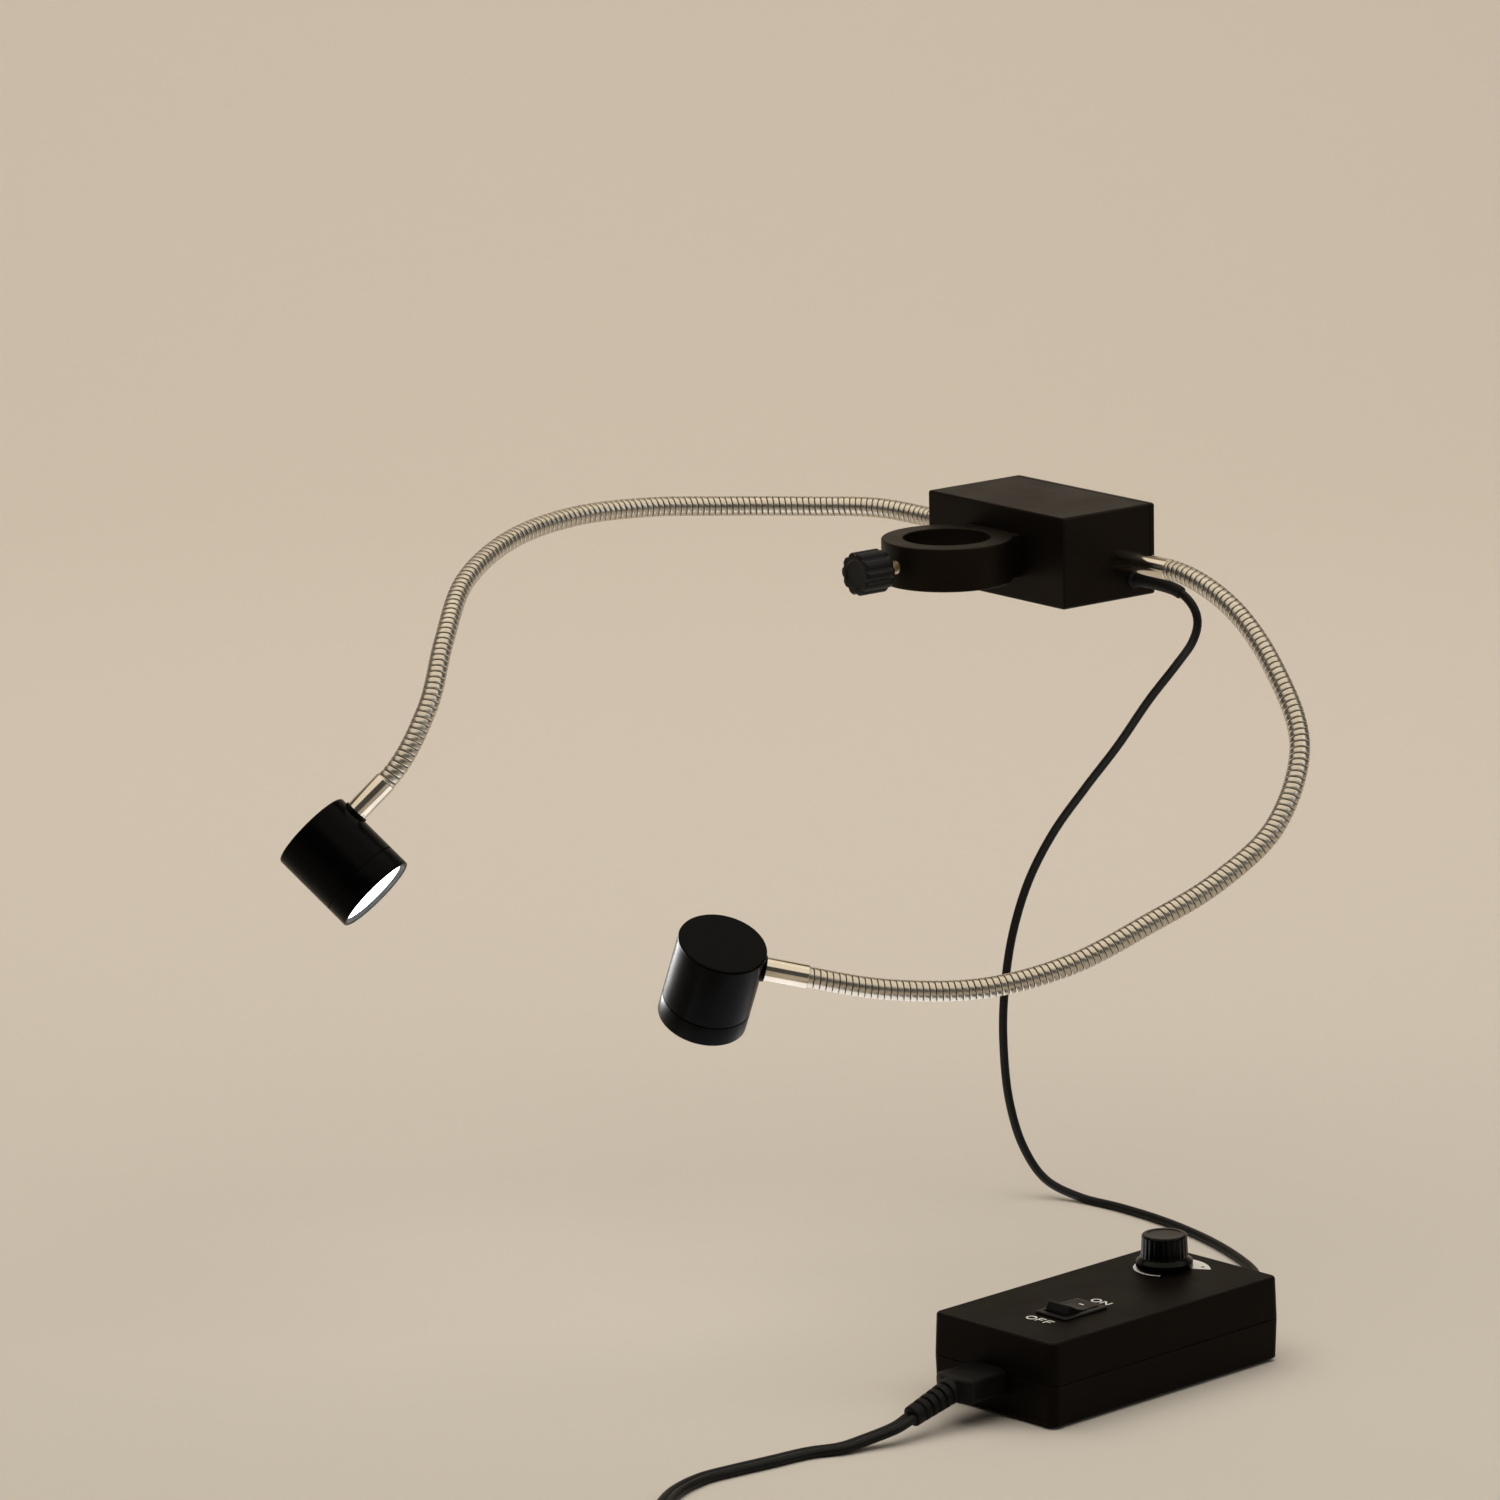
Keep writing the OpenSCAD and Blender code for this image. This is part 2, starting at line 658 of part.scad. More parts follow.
// Tube with a thread at its root, and an end that leaves room to bend or meets the neck squarely
module ferrule(r, l, thread_l, collar_r, collar_l, gap, slope) rotate_extrude() polygon([
    [neck_bore_r, -thread_l], [ferrule_thread_r, -thread_l], [ferrule_thread_r, 0], [collar_r, 0],
    [collar_r, collar_l], [r, collar_l], [r, l - gap - (r - neck_bore_r) * tan(slope)],
    [neck_bore_r, l - gap]]);

module base_ferrule() color(nickel) translate([box_w / 2, neck_y, neck_up]) rotate([0, 90, 0])
    ferrule(base_ferrule_d / 2, base_ferrule_l, box_wall + nut_h + thread_show,
        base_ferrule_d / 2 + base_flange_w, base_flange_t, neck_half_gap, neck_end_slope);
module right_base_ferrule() base_ferrule();
module left_base_ferrule() mirror([1, 0, 0]) base_ferrule();

function right_route() = [for (s = right_steps) s + [neck_start_x, neck_y, neck_up]];
function left_route() = [for (s = left_steps) s + [-neck_start_x, neck_y, neck_up]];

// One ribbed section of a neck between two bending points, with its bore; the last meets its ferrule
module neck_section(route, first, last, k) {
    u0 = (k - 1) * steps_per_section;
    u1 = k * steps_per_section;
    span = norm(route[u0 + 1] - route[u0]) + norm(route[u0 + 2] - route[u0 + 1]);
    lip = neck_half_gap / span * steps_per_section;
    brim = (neck_half_gap + (neck_r - neck_bore_r) * tan(neck_end_slope)) / span * steps_per_section;
    end_lip = k == neck_sections ? 0 : lip;
    end_brim = k == neck_sections ? 0 : brim;
    bore_steps = floor(neck_ribs / 2);
    crests = [for (i = [0:2 * neck_ribs]) u0 + brim + (u1 - u0 - brim - end_brim) * i / (2 * neck_ribs)];
    bores = [for (i = [0:bore_steps]) u1 - end_lip - (u1 - u0 - lip - end_lip) * i / bore_steps];
    stops = concat(crests, bores);
    ways = [for (u = stops) curve_way(route, first, last, u)];
    sides = carried(ways, [0.3, 0.5, 0.8]);
    color(nickel) skin([for (i = [0:len(stops) - 1])
        let (r = i > 2 * neck_ribs ? neck_bore_r : neck_r - (i % 2) * neck_groove)
        ring_at(curve_at(route, first, last, stops[i]), ways[i], sides[i], r, r, neck_sides)], true);
}
module right_neck(k) neck_section(right_route(), [1, 0, 0], right_entry, k);
module left_neck(k) neck_section(left_route(), [-1, 0, 0], left_entry, k);

// Head frame: +X towards the neck, +Z along the beam, origin on the head's axis at the neck's entry
module at_head(route, entry, beam) {
    d = unit(entry);
    z = unit(beam - (beam * d) * d);
    y = cross(z, -d);
    p = route[len(route) - 1] + d * (head_ferrule_l + seat_x);
    multmatrix([[-d.x, y.x, z.x, p.x], [-d.y, y.y, z.y, p.y], [-d.z, y.z, z.z, p.z], [0, 0, 0, 1]])
        children();
}
module at_right_head() at_head(right_route(), right_entry, right_beam) children();
module at_left_head() at_head(left_route(), left_entry, left_beam) children();

module head_ferrule() color(nickel) translate([seat_x, 0, 0]) rotate([0, 90, 0])
    ferrule(head_ferrule_d / 2, head_ferrule_l, seat_x - wire_room_r,
        head_collar_d / 2, head_collar_l, 0, 0);

module head_can() color(black_paint) difference() {
    rotate_extrude() polygon([
        [0, -entry_back], [head_r - head_edge_r, -entry_back], [head_r, head_edge_r - entry_back],
        [head_r, can_front - groove_h], [head_r - groove_depth, can_front - groove_h],
        [head_r - groove_depth, can_front], [spigot_r, can_front], [spigot_r, spigot_front],
        [sink_r + seat_gap, spigot_front], [sink_r + seat_gap, sink_back], [wire_room_r, sink_back],
        [wire_room_r, head_back_t - entry_back], [0, head_back_t - entry_back]]);
    translate([seat_x, 0, 0]) along_x(seat_depth + over, head_collar_d / 2 + seat_gap);
    translate([wire_room_r - over, 0, 0]) along_x(head_wall + over, ferrule_thread_r + run_gap);
}

module heat_sink() color("#a9abad") difference() {
    translate([0, 0, sink_back]) cylinder(h = sink_t, r = sink_r);
    translate([wire_hole_x, 0, sink_back - over]) cylinder(h = sink_t + 2 * over, r = wire_hole_r);
}

module lamp_board() color("#e9e8e2") difference() {
    translate([0, 0, board_back]) cylinder(h = lamp_board_t, r = lamp_board_r);
    translate([wire_hole_x, 0, board_back - over]) cylinder(h = lamp_board_t + 2 * over, r = wire_hole_r);
}

// Each emitter is a round base with a clear dome on it
module light_emitters() color("#f1e39a") for (k = [0:emitters - 1]) {
    rotate(180 + 360 * k / emitters) translate([emitter_ring_r, 0, emitter_back]) rotate_extrude()
        polygon([[0, 0], [emitter_d / 2, 0], [emitter_d / 2, emitter_base_h],
            [emitter_d * 0.4, emitter_base_h], [emitter_d * 0.35, emitter_base_h + emitter_dome_h * 0.5],
            [emitter_d * 0.2, emitter_base_h + emitter_dome_h * 0.85],
            [0, emitter_base_h + emitter_dome_h]]);
}

module lens() color("#f4f6f7") translate([0, 0, lens_back]) cylinder(h = lens_t, r = lens_r - seat_gap);

module bezel() color(black_paint) rotate_extrude() polygon([
    [lens_r, can_front], [head_r, can_front], [head_r, bezel_front],
    [head_r - bezel_lip, bezel_front], [head_r - bezel_lip, lens_front], [lens_r, lens_front]]);

module right_head_ferrule() at_right_head() head_ferrule();
module left_head_ferrule() at_left_head() head_ferrule();
module right_head_can() at_right_head() head_can();
module left_head_can() at_left_head() head_can();
module right_heat_sink() at_right_head() heat_sink();
module left_heat_sink() at_left_head() heat_sink();
module right_lamp_board() at_right_head() lamp_board();
module left_lamp_board() at_left_head() lamp_board();
module right_emitters() at_right_head() light_emitters();
module left_emitters() at_left_head() light_emitters();
module right_lens() at_right_head() lens();
module left_lens() at_left_head() lens();
module right_bezel() at_right_head() bezel();
module left_bezel() at_left_head() bezel();

// Control box frame: origin on the table under its middle, +Y along its length
module at_control() translate(control_pos) rotate(control_turn) children();
function from_control(p) =
    control_pos + [p.x * cos(control_turn) - p.y * sin(control_turn),
        p.x * sin(control_turn) + p.y * cos(control_turn), p.z];

module case_block(inset, h) linear_extrude(h)
    rounded_rect(case_w - 2 * inset, case_l - 2 * inset, case_r - inset / 2);

module inlet_cut() translate([inlet_x, case_near + case_wall / 2, inlet_z])
    cube([inlet_w + 2 * seat_gap, case_wall + 2 * over, inlet_h + 2 * seat_gap], center = true);

module at_case_posts() for (x = [-1, 1], y = [-1, 1]) {
    translate([x * case_post_x, y * case_post_y, 0]) children();
}

module case_bottom() color(black_plastic) at_control() difference() {
    union() {
        difference() {
            translate([0, 0, foot_h]) case_block(0, bottom_h);
            translate([0, 0, inner_floor_z]) case_block(case_wall, bottom_h);
        }
        at_case_posts() translate([0, 0, foot_h + over])
            cylinder(h = bottom_h - over, r = case_post_d / 2);
        for (x = [-1, 1], y = [-1, 1]) {
            translate([x * board_post_x, board_y + y * board_post_y, foot_h + over])
                cylinder(h = board_z - foot_h - over, r = board_post_r);
        }
    }
    at_case_posts() {
        cylinder(h = seam_z + over, r = case_screw_d / 2 + run_gap);
        cylinder(h = foot_h + case_head_h, r = case_head_d / 2 + seat_gap);
    }
    inlet_cut();
    translate([sleeve_x, -case_near - case_wall - over, sleeve_z])
        along_y(case_wall + 2 * over, bush_neck_r + run_gap);
}

module case_top() color(black_plastic) at_control() difference() {
    union() {
        difference() {
            translate([0, 0, seam_z]) case_block(0, top_h);
            translate([0, 0, seam_z - over]) case_block(case_wall, top_h - case_floor + over);
        }
        at_case_posts() translate([0, 0, seam_z]) cylinder(h = top_h - over, r = case_post_d / 2);
    }
    at_case_posts() translate([0, 0, seam_z - over])
        cylinder(h = case_screw_l - bottom_h + case_head_h + 2 * over, r = case_screw_d / 2 + run_gap);
    inlet_cut();
    translate([switch_x, switch_y, inner_top_z - over])
        linear_extrude(case_floor + 2 * over)
            square([switch_body_w + 2 * seat_gap, switch_body_l + 2 * seat_gap], center = true);
    translate([knob_x, knob_y, inner_top_z - over])
        cylinder(h = case_floor + 2 * over, r = bush_d / 2 + seat_gap);
}

module case_screws() color(steel) at_control() at_case_posts() translate([0, 0, foot_h + case_head_h])
    pan_screw(case_screw_d, case_screw_l, case_head_d, case_head_h);

module feet() color("#222222") at_control() for (x = [-1, 1], y = [-1, 1]) {
    translate([x * foot_x, y * foot_y, 0]) cylinder(h = foot_h, r = foot_d / 2);
}

// Switch body with a rim on the case, a well for the rocker and holes for its pin
module switch_frame() color(black_plastic) at_control() translate([switch_x, switch_y, case_top_z])
    difference() {
        union() {
            linear_extrude(switch_rim) rounded_rect(switch_w, switch_l, switch_lip);
            translate([0, 0, -switch_depth]) linear_extrude(switch_depth + over)
                square([switch_body_w, switch_body_l], center = true);
        }
        translate([0, 0, switch_floor - switch_depth]) linear_extrude(switch_depth + switch_rim)
            square([rocker_w + 2 * move_gap, rocker_l + 2 * move_gap], center = true);
        translate([-rocker_w / 2 - rocker_pin_reach - move_gap, 0, -pin_drop])
            along_x(rocker_w + 2 * rocker_pin_reach + 2 * move_gap, rocker_pin_d / 2 + run_gap);
    }

// Rocker with a dished top and round ends, lying at its ON end
module rocker() color("#101010") at_control() translate([switch_x, switch_y, pin_z])
    rotate([-rocker_tilt, 0, 0]) {
        intersection() {
            translate([-rocker_w / 2, 0, 0]) along_x(rocker_w, rocker_l / 2);
            translate([-rocker_w / 2, 0, 0]) rotate([90, 0, 90]) linear_extrude(rocker_w) polygon([
                [-rocker_l / 2, -rocker_waist], [rocker_l / 2, -rocker_waist],
                [rocker_l / 2, rocker_rise], [0, rocker_waist], [-rocker_l / 2, rocker_rise]]);
        }
        translate([-rocker_w / 2 - rocker_pin_reach, 0, 0])
            along_x(rocker_w + 2 * rocker_pin_reach, rocker_pin_d / 2);
    }

module at_knob() at_control() translate([knob_x, knob_y, 0]) children();

module dimmer_body() color("#9a9c9e") at_knob() difference() {
    union() {
        translate([0, 0, inner_top_z - dimmer_depth]) cylinder(h = dimmer_depth, r = dimmer_d / 2);
        translate([0, 0, inner_top_z - over])
            cylinder(h = case_floor + dimmer_nut_h + over + bush_show, r = bush_d / 2);
    }
    translate([0, 0, inner_top_z - dimmer_depth + dimmer_floor])
        cylinder(h = case_top_z, r = shaft_d / 2 + run_gap);
}

module dimmer_nut() color(nickel) at_knob() translate([0, 0, case_top_z]) difference() {
    cylinder(h = dimmer_nut_h, r = nut_flat_d / 2, $fn = 6);
    translate([0, 0, -over]) cylinder(h = dimmer_nut_h + 2 * over, r = bush_d / 2 + run_gap);
}

module dimmer_shaft() color(nickel) at_knob()
    translate([0, 0, inner_top_z - dimmer_depth + dimmer_floor + move_gap])
        cylinder(h = shaft_top - inner_top_z + dimmer_depth - dimmer_floor - move_gap, r = shaft_d / 2);

module dimmer_knob() color("#0f0f0f") at_knob() translate([0, 0, case_top_z]) difference() {
    union() {
        translate([0, 0, knob_gap]) cylinder(h = knob_skirt_h, r = knob_skirt_d / 2);
        translate([0, 0, knob_gap]) cylinder(h = knob_top - knob_gap, r = knob_d / 2);
    }
    cylinder(h = dimmer_nut_h + bush_show + 2 * move_gap, r = nut_flat_d / 2 + move_gap);
    cylinder(h = knob_top - knob_crown + run_gap, r = shaft_d / 2 + run_gap);
    for (k = [0:knob_flutes - 1]) {
        rotate(360 * k / knob_flutes)
            translate([knob_d / 2 + flute_out, 0, knob_gap + knob_skirt_h + flute_out])
                cylinder(h = knob_top, r = flute_r, $fn = 16);
    }
}

module driver_board() color(board_green) at_control() translate([0, board_y, board_z])
    linear_extrude(board_t) square([board_w, board_l], center = true);

// Transformer, filter capacitors and choke on the driver board
module board_parts() at_control() translate([0, board_y, board_z + board_t]) {
    color("#3a3a36") translate(transformer_corner) cube(transformer_size);
    color("#20242c") for (x = capacitor_xs) {
        translate([x, capacitor_y, 0]) cylinder(h = capacitor_h, r = capacitor_d / 2);
    }
    color("#5b4a35") translate(choke_place) cylinder(h = choke_h, r = choke_d / 2);
}

module mains_inlet() color(black_plastic) at_control() translate([inlet_x, case_near, inlet_z])
    difference() {
        union() {
            translate([-inlet_w / 2, 0, -inlet_h / 2]) cube([inlet_w, inlet_l, inlet_h]);
            translate([-inlet_w / 2 - inlet_flange, case_wall, -inlet_h / 2 - inlet_flange])
                cube([inlet_w + 2 * inlet_flange, inlet_flange, inlet_h + 2 * inlet_flange]);
        }
        translate([0, -over, 0]) rotate([-90, 0, 0]) linear_extrude(socket_l + over)
            stadium(socket_w, socket_h);
        for (x = [-1, 1]) {
            translate([x * pin_pitch / 2, 0, 0]) along_y(inlet_l + over, pin_d / 2 + run_gap);
        }
    }

module inlet_pins() color(nickel) at_control() for (x = [-1, 1]) {
    translate([inlet_x + x * pin_pitch / 2, case_near, inlet_z]) {
        translate([0, over, 0]) along_y(inlet_l - over, pin_d / 2);
        translate([0, inlet_l, 0]) along_y(pin_tag_l, pin_tag_d / 2);
    }
}

// Sleeve that the lead leaves the control box through, tapering outwards
module lead_sleeve() color(black_plastic) at_control() translate([sleeve_x, -case_near, sleeve_z])
    rotate([-90, 0, 0]) rotate_extrude() polygon([
        [lead_d / 2, -case_wall - bush_flange_t], [bush_flange_d / 2, -case_wall - bush_flange_t],
        [bush_flange_d / 2, -case_wall], [bush_neck_r, -case_wall], [bush_neck_r, 0],
        [bush_flange_d / 2, 0], [bush_flange_d / 2, bush_flange_t],
        [bush_neck_r, bush_flange_t], [lead_d / 2 + sleeve_tip, sleeve_l],
        [lead_d / 2, sleeve_l]]);

// Strain relief: a taper with grooves round it
module strain_relief() difference() {
    translate([0, 0, -relief_root]) cylinder(h = relief_l + relief_root, r1 = relief_r1, r2 = relief_r2);
    for (k = [1:relief_ribs]) {
        translate([0, 0, k * relief_rib_step]) difference() {
            cylinder(h = relief_rib_w, r = relief_r1 + over);
            translate([0, 0, -over]) cylinder(h = relief_rib_w + 2 * over, r = relief_groove_r);
        }
    }
}

// Connector: a nose in the inlet, a grip outside it and a strain relief that bends down
module mains_connector() color(black_plastic) at_control() translate([inlet_x, case_near, inlet_z])
    difference() {
        union() {
            translate([0, -over, 0]) rotate([-90, 0, 0]) linear_extrude(socket_l - seat_gap + over)
                stadium(socket_w - 2 * seat_gap, socket_h - 2 * seat_gap);
            translate([0, -grip_l, 0]) rotate([-90, 0, 0]) linear_extrude(grip_l)
                rounded_rect(grip_w, grip_h, grip_h / 3);
            translate([0, -grip_l, 0]) rotate([90 + relief_tilt, 0, 0]) strain_relief();
        }
        for (x = [-1, 1]) {
            translate([x * pin_pitch / 2, 0, 0]) along_y(socket_l + over, pin_d / 2 + run_gap);
        }
    }

// Way and face where the mains cord leaves the strain relief
function relief_way() = from_control([0, -cos(relief_tilt), -sin(relief_tilt)]) - from_control([0, 0, 0]);
function relief_face() = from_control([inlet_x, case_near - grip_l, inlet_z]) + relief_l * relief_way();

// Cord swept through points, with a ring every few millimetres
module cord(points, first, last, w, t, sides, rings, flat) {
    n = len(points) - 1;
    stops = [for (i = [0:rings]) n * i / rings];
    ways = [for (u = stops) curve_way(points, first, last, u)];
    across = flat ? [for (v = ways) unit(cross(v, [0, 0, 1]))] : carried(ways, [0.1, 1, 0.2]);
    skin([for (i = [0:rings])
        let (c = curve_at(points, first, last, stops[i]))
        ring_at(c, ways[i], across[i], w / 2, t / 2, sides)], false);
}

module low_voltage_lead() color(black_plastic) {
    inside = [box_w / 2 - box_wall - bush_flange_t, lead_y, lead_up];
    exit = [box_w / 2 + bush_flange_t, lead_y, lead_up];
    way = from_control([0, 1, 0]) - from_control([0, 0, 0]);
    stop = from_control([sleeve_x, -case_near - case_wall - bush_flange_t, sleeve_z]);
    cord(concat([inside], [for (p = lead_drop) exit + p], lead_run,
        [for (p = lead_rise) from_control([sleeve_x, sleeve_l - case_near, sleeve_z] + p)], [stop]),
        [1, 0, 0], -way, lead_d, lead_d, cord_sides, lead_rings, false);
}

// Coil: the cord spirals in along the table, climbs in half a turn and spirals out on top
coil_step = mains_w + coil_gap;
layer_step = mains_t + coil_gap;
coil_in_r = coil_r - coil_turns * coil_step / 2;
coil_out_r = coil_r + coil_turns * coil_step / 2;
coil_z = table_z + mains_t / 2 + coil_lift;
// The tie lies a quarter turn before the coil's start, where every turn is at its own level
tie_r = coil_out_r - coil_step * (0.75 + (coil_turns - 1) / 2);
total_turns = 2 * coil_turns + climb_turns;
function climb(q) = let (t = min(max((q - coil_turns) / climb_turns, 0), 1)) t * t * (3 - 2 * t);
function spiral_r(q) =
    q <= coil_turns ? coil_out_r - coil_step * q :
    q <= coil_turns + climb_turns ? coil_in_r - coil_dip * sin(180 * (q - coil_turns) / climb_turns) :
    coil_in_r + coil_step * (q - coil_turns - climb_turns);
function coil_at(q) =
    let (r = spiral_r(q), a = 180 + 360 * q)
    [coil_centre.x + r * cos(a), coil_centre.y + r * sin(a), coil_z + layer_step * climb(q)];
coil_start = coil_at(0) + [0, coil_lead, 0];
coil_stop = coil_at(total_turns) + [0, coil_lead, 0];
coil_path = concat([coil_start],
    [for (i = [0:total_turns * coil_rings]) coil_at(i / coil_rings)], [coil_stop]);
coil_count = len(coil_path);
coil_skin = [for (i = [0:coil_count - 1])
    let (way = i == 0 ? [0, -1, 0] : i == coil_count - 1 ? [0, 1, 0] :
        unit(coil_path[i + 1] - coil_path[i - 1]))
    let (across = unit(cross(way, [0, 0, 1])))
    ring_at(coil_path[i], way, across, mains_w / 2, mains_t / 2 / sin(60), coil_sides)];
// Least gap between one turn and the turns half a turn or more further on, measured on the rings' points
coil_least_gap = min([for (i = [0:coil_count - 1], j = [i + coil_rings / 2:coil_count - 1])
    let (lag = (j - i) % coil_rings)
    if (lag < 2 || lag > coil_rings - 2)
        min([for (a = coil_skin[i], b = coil_skin[j]) norm(a - b)])]);
echo(least_gap_in_the_coil = coil_least_gap);

module mains_cord() color(black_plastic) {
    face = relief_face();
    way = relief_way();
    drop = [for (p = mains_drop) face + p];
    cord(concat([face, face + relief_straight * way], drop, mains_run, [coil_start]),
        way, [0, -1, 0], mains_w, mains_t, cord_sides, mains_rings, true);
    cord([coil_stop, coil_stop + [0, tail_l / 2, tail_rise], plug_face()], [0, 1, 0], [0, 1, 0],
        mains_w, mains_t, cord_sides, tail_rings, true);
}

module mains_coil() color(black_plastic) skin(coil_skin, false);

// Flat band round all the turns
module coil_tie() color("#2a2a2a") {
    inner_w = (coil_turns - 1) * coil_step + mains_w + 2 * tie_gap;
    inner_h = layer_step + mains_t + 2 * tie_gap;
    translate([coil_centre.x - tie_w / 2, coil_centre.y + tie_r, coil_z + layer_step / 2])
        rotate([90, 0, 90]) linear_extrude(tie_w) difference() {
            rounded_rect(inner_w + 2 * tie_t, inner_h + 2 * tie_t, tie_r_out);
            rounded_rect(inner_w, inner_h, tie_r_out - tie_t);
        }
}

function plug_face() = [coil_stop.x, coil_stop.y + tail_l, table_z + plug_t / 2];
module at_plug() translate(plug_face()) rotate([-90, 0, 0]) children();

module mains_plug() color(black_plastic) at_plug() difference() {
    union() {
        translate([0, 0, plug_sleeve_l]) linear_extrude(plug_l) rounded_rect(plug_w, plug_t, plug_round);
        cylinder(h = plug_sleeve_l + over, r1 = plug_sleeve_r1, r2 = plug_sleeve_r2);
    }
    for (x = [-1, 1]) {
        translate([x * blade_pitch / 2, 0, plug_sleeve_l + plug_l / 2]) linear_extrude(plug_l)
            square([blade_t + 2 * run_gap, blade_w + 2 * run_gap], center = true);
    }
}

module plug_blades() color(nickel) at_plug() for (x = [-1, 1]) {
    translate([x * blade_pitch / 2, 0, plug_sleeve_l + plug_l / 2 + run_gap])
        linear_extrude(plug_l / 2 + blade_l - run_gap) square([blade_t, blade_w], center = true);
}

clamp_ring();
bracket_screws();
clamp_stud();
clamp_knob();
box_shell();
box_cover();
cover_screws();
neck_nuts();
terminal_board();
terminal_block();
lead_bush();
right_base_ferrule();
left_base_ferrule();
right_neck(1);  // right_neck_1
right_neck(2);  // right_neck_2
right_neck(3);  // right_neck_3
right_neck(4);  // right_neck_4
right_neck(5);  // right_neck_5
left_neck(1);  // left_neck_1
left_neck(2);  // left_neck_2
left_neck(3);  // left_neck_3
left_neck(4);  // left_neck_4
left_neck(5);  // left_neck_5
right_head_ferrule();
left_head_ferrule();
right_head_can();
left_head_can();
right_heat_sink();
left_heat_sink();
right_lamp_board();
left_lamp_board();
right_emitters();
left_emitters();
right_lens();
left_lens();
right_bezel();
left_bezel();
low_voltage_lead();
case_bottom();
case_top();
case_screws();
feet();
switch_frame();
rocker();
dimmer_body();
dimmer_nut();
dimmer_shaft();
dimmer_knob();
driver_board();
board_parts();
mains_inlet();
inlet_pins();
lead_sleeve();
mains_connector();
mains_cord();
mains_coil();
coil_tie();
mains_plug();
plug_blades();
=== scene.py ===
import math
import bpy
import numpy as np
from mathutils import Matrix


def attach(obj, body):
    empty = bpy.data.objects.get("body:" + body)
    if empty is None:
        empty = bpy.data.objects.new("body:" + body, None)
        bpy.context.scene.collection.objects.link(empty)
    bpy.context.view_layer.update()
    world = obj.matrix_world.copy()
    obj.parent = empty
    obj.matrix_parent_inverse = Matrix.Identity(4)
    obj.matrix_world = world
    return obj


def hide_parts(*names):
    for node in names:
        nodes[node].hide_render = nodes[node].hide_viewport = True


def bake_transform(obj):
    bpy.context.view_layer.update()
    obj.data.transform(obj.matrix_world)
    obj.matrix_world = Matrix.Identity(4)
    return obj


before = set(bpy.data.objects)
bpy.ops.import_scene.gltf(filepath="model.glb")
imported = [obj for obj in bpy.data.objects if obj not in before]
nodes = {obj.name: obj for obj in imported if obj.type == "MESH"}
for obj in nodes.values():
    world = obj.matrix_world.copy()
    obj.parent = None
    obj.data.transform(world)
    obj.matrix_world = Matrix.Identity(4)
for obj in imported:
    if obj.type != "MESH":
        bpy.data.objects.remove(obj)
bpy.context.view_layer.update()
scene = bpy.context.scene
scene.view_settings.view_transform = "Standard"
metre = 0.001  # sizes below are in millimetres, and meshes are in metres
print("frame loaded:", len(nodes), "nodes")


def unit(vector):
    vector = np.asarray(vector, float)
    return vector / np.linalg.norm(vector, axis=-1, keepdims=True)


def pick(sizes, names):
    # several values out of one dictionary
    return [sizes[name] for name in names.split()]


def inWorld(place, axes):
    # Blender's matrix from a place in metres and three axes
    whole = np.eye(4)
    whole[:3, :3] = np.transpose(axes)
    whole[:3, 3] = place
    return Matrix(whole.tolist())


# Camera: back points from the object to the camera, right and up are turned by the roll
cameraSet = {"azimuth": 51.8406, "elevation": 12.7508, "roll": -1.0981, "lens": 186.076, "film": 36.0,
             "farthest": 50, "place": (2139.166, -1774.274, 558.25)}


def cameraAxes(view):
    turn, lift, roll = np.radians(pick(view, "azimuth elevation roll"))
    back = np.array([math.sin(turn) * math.cos(lift), -math.cos(turn) * math.cos(lift), math.sin(lift)])
    right = np.array([math.cos(turn), math.sin(turn), 0.0])
    up = np.cross(back, right)
    return np.array([math.cos(roll) * right + math.sin(roll) * up,
                     math.cos(roll) * up - math.sin(roll) * right, back])


def addCamera(view):
    lens = bpy.data.cameras.new("camera")
    lens.sensor_width, lens.lens, lens.clip_end = pick(view, "film lens farthest")
    camera = bpy.data.objects.new("camera", lens)
    camera.matrix_world = inWorld(np.array(view["place"]) * metre, cameraAxes(view))
    scene.collection.objects.link(camera)
    scene.camera = camera


addCamera(cameraSet)
print("camera set")


# Materials

def linear(code):
    # sRGB hex to linear light
    part = np.array([int(code[i:i + 2], 16) for i in (1, 3, 5)]) / 255
    light = np.where(part <= 0.04045, part / 12.92, ((part + 0.055) / 1.055) ** 2.4)
    return (*light.tolist(), 1.0)


def addNode(tree, kind, inputs=(), output=0, **settings):
    # one node: settings are properties, inputs (in order or by name) are constants or sockets to link from;
    # gives one of its outputs
    made = tree.nodes.new("ShaderNode" + kind)
    for key, value in settings.items():
        setattr(made, key, value)
    for key, value in inputs.items() if isinstance(inputs, dict) else enumerate(inputs):
        if isinstance(value, bpy.types.NodeSocket):
            tree.links.new(value, made.inputs[key])
        else:
            made.inputs[key].default_value = value
    return made.outputs[output] if made.outputs else None


def startMaterial(name):
    material = bpy.data.materials.new(name)
    material.use_nodes = True
    tree = material.node_tree
    tree.nodes.clear()
    return material, tree, addNode(tree, "TexCoord", output="Object")


def endMaterial(tree, inputs, height, depth, strength):
    # relief (its depth in mm), shader and output
    relief = addNode(tree, "Bump", {"Height": height, "Distance": depth * metre, "Strength": strength})
    shader = addNode(tree, "BsdfPrincipled", {**inputs, "Normal": relief})
    addNode(tree, "OutputMaterial", {"Surface": shader})


grainSet = {"from": 0.3, "to": 0.7, "details": (3.0, 2.0), "strength": 0.6}


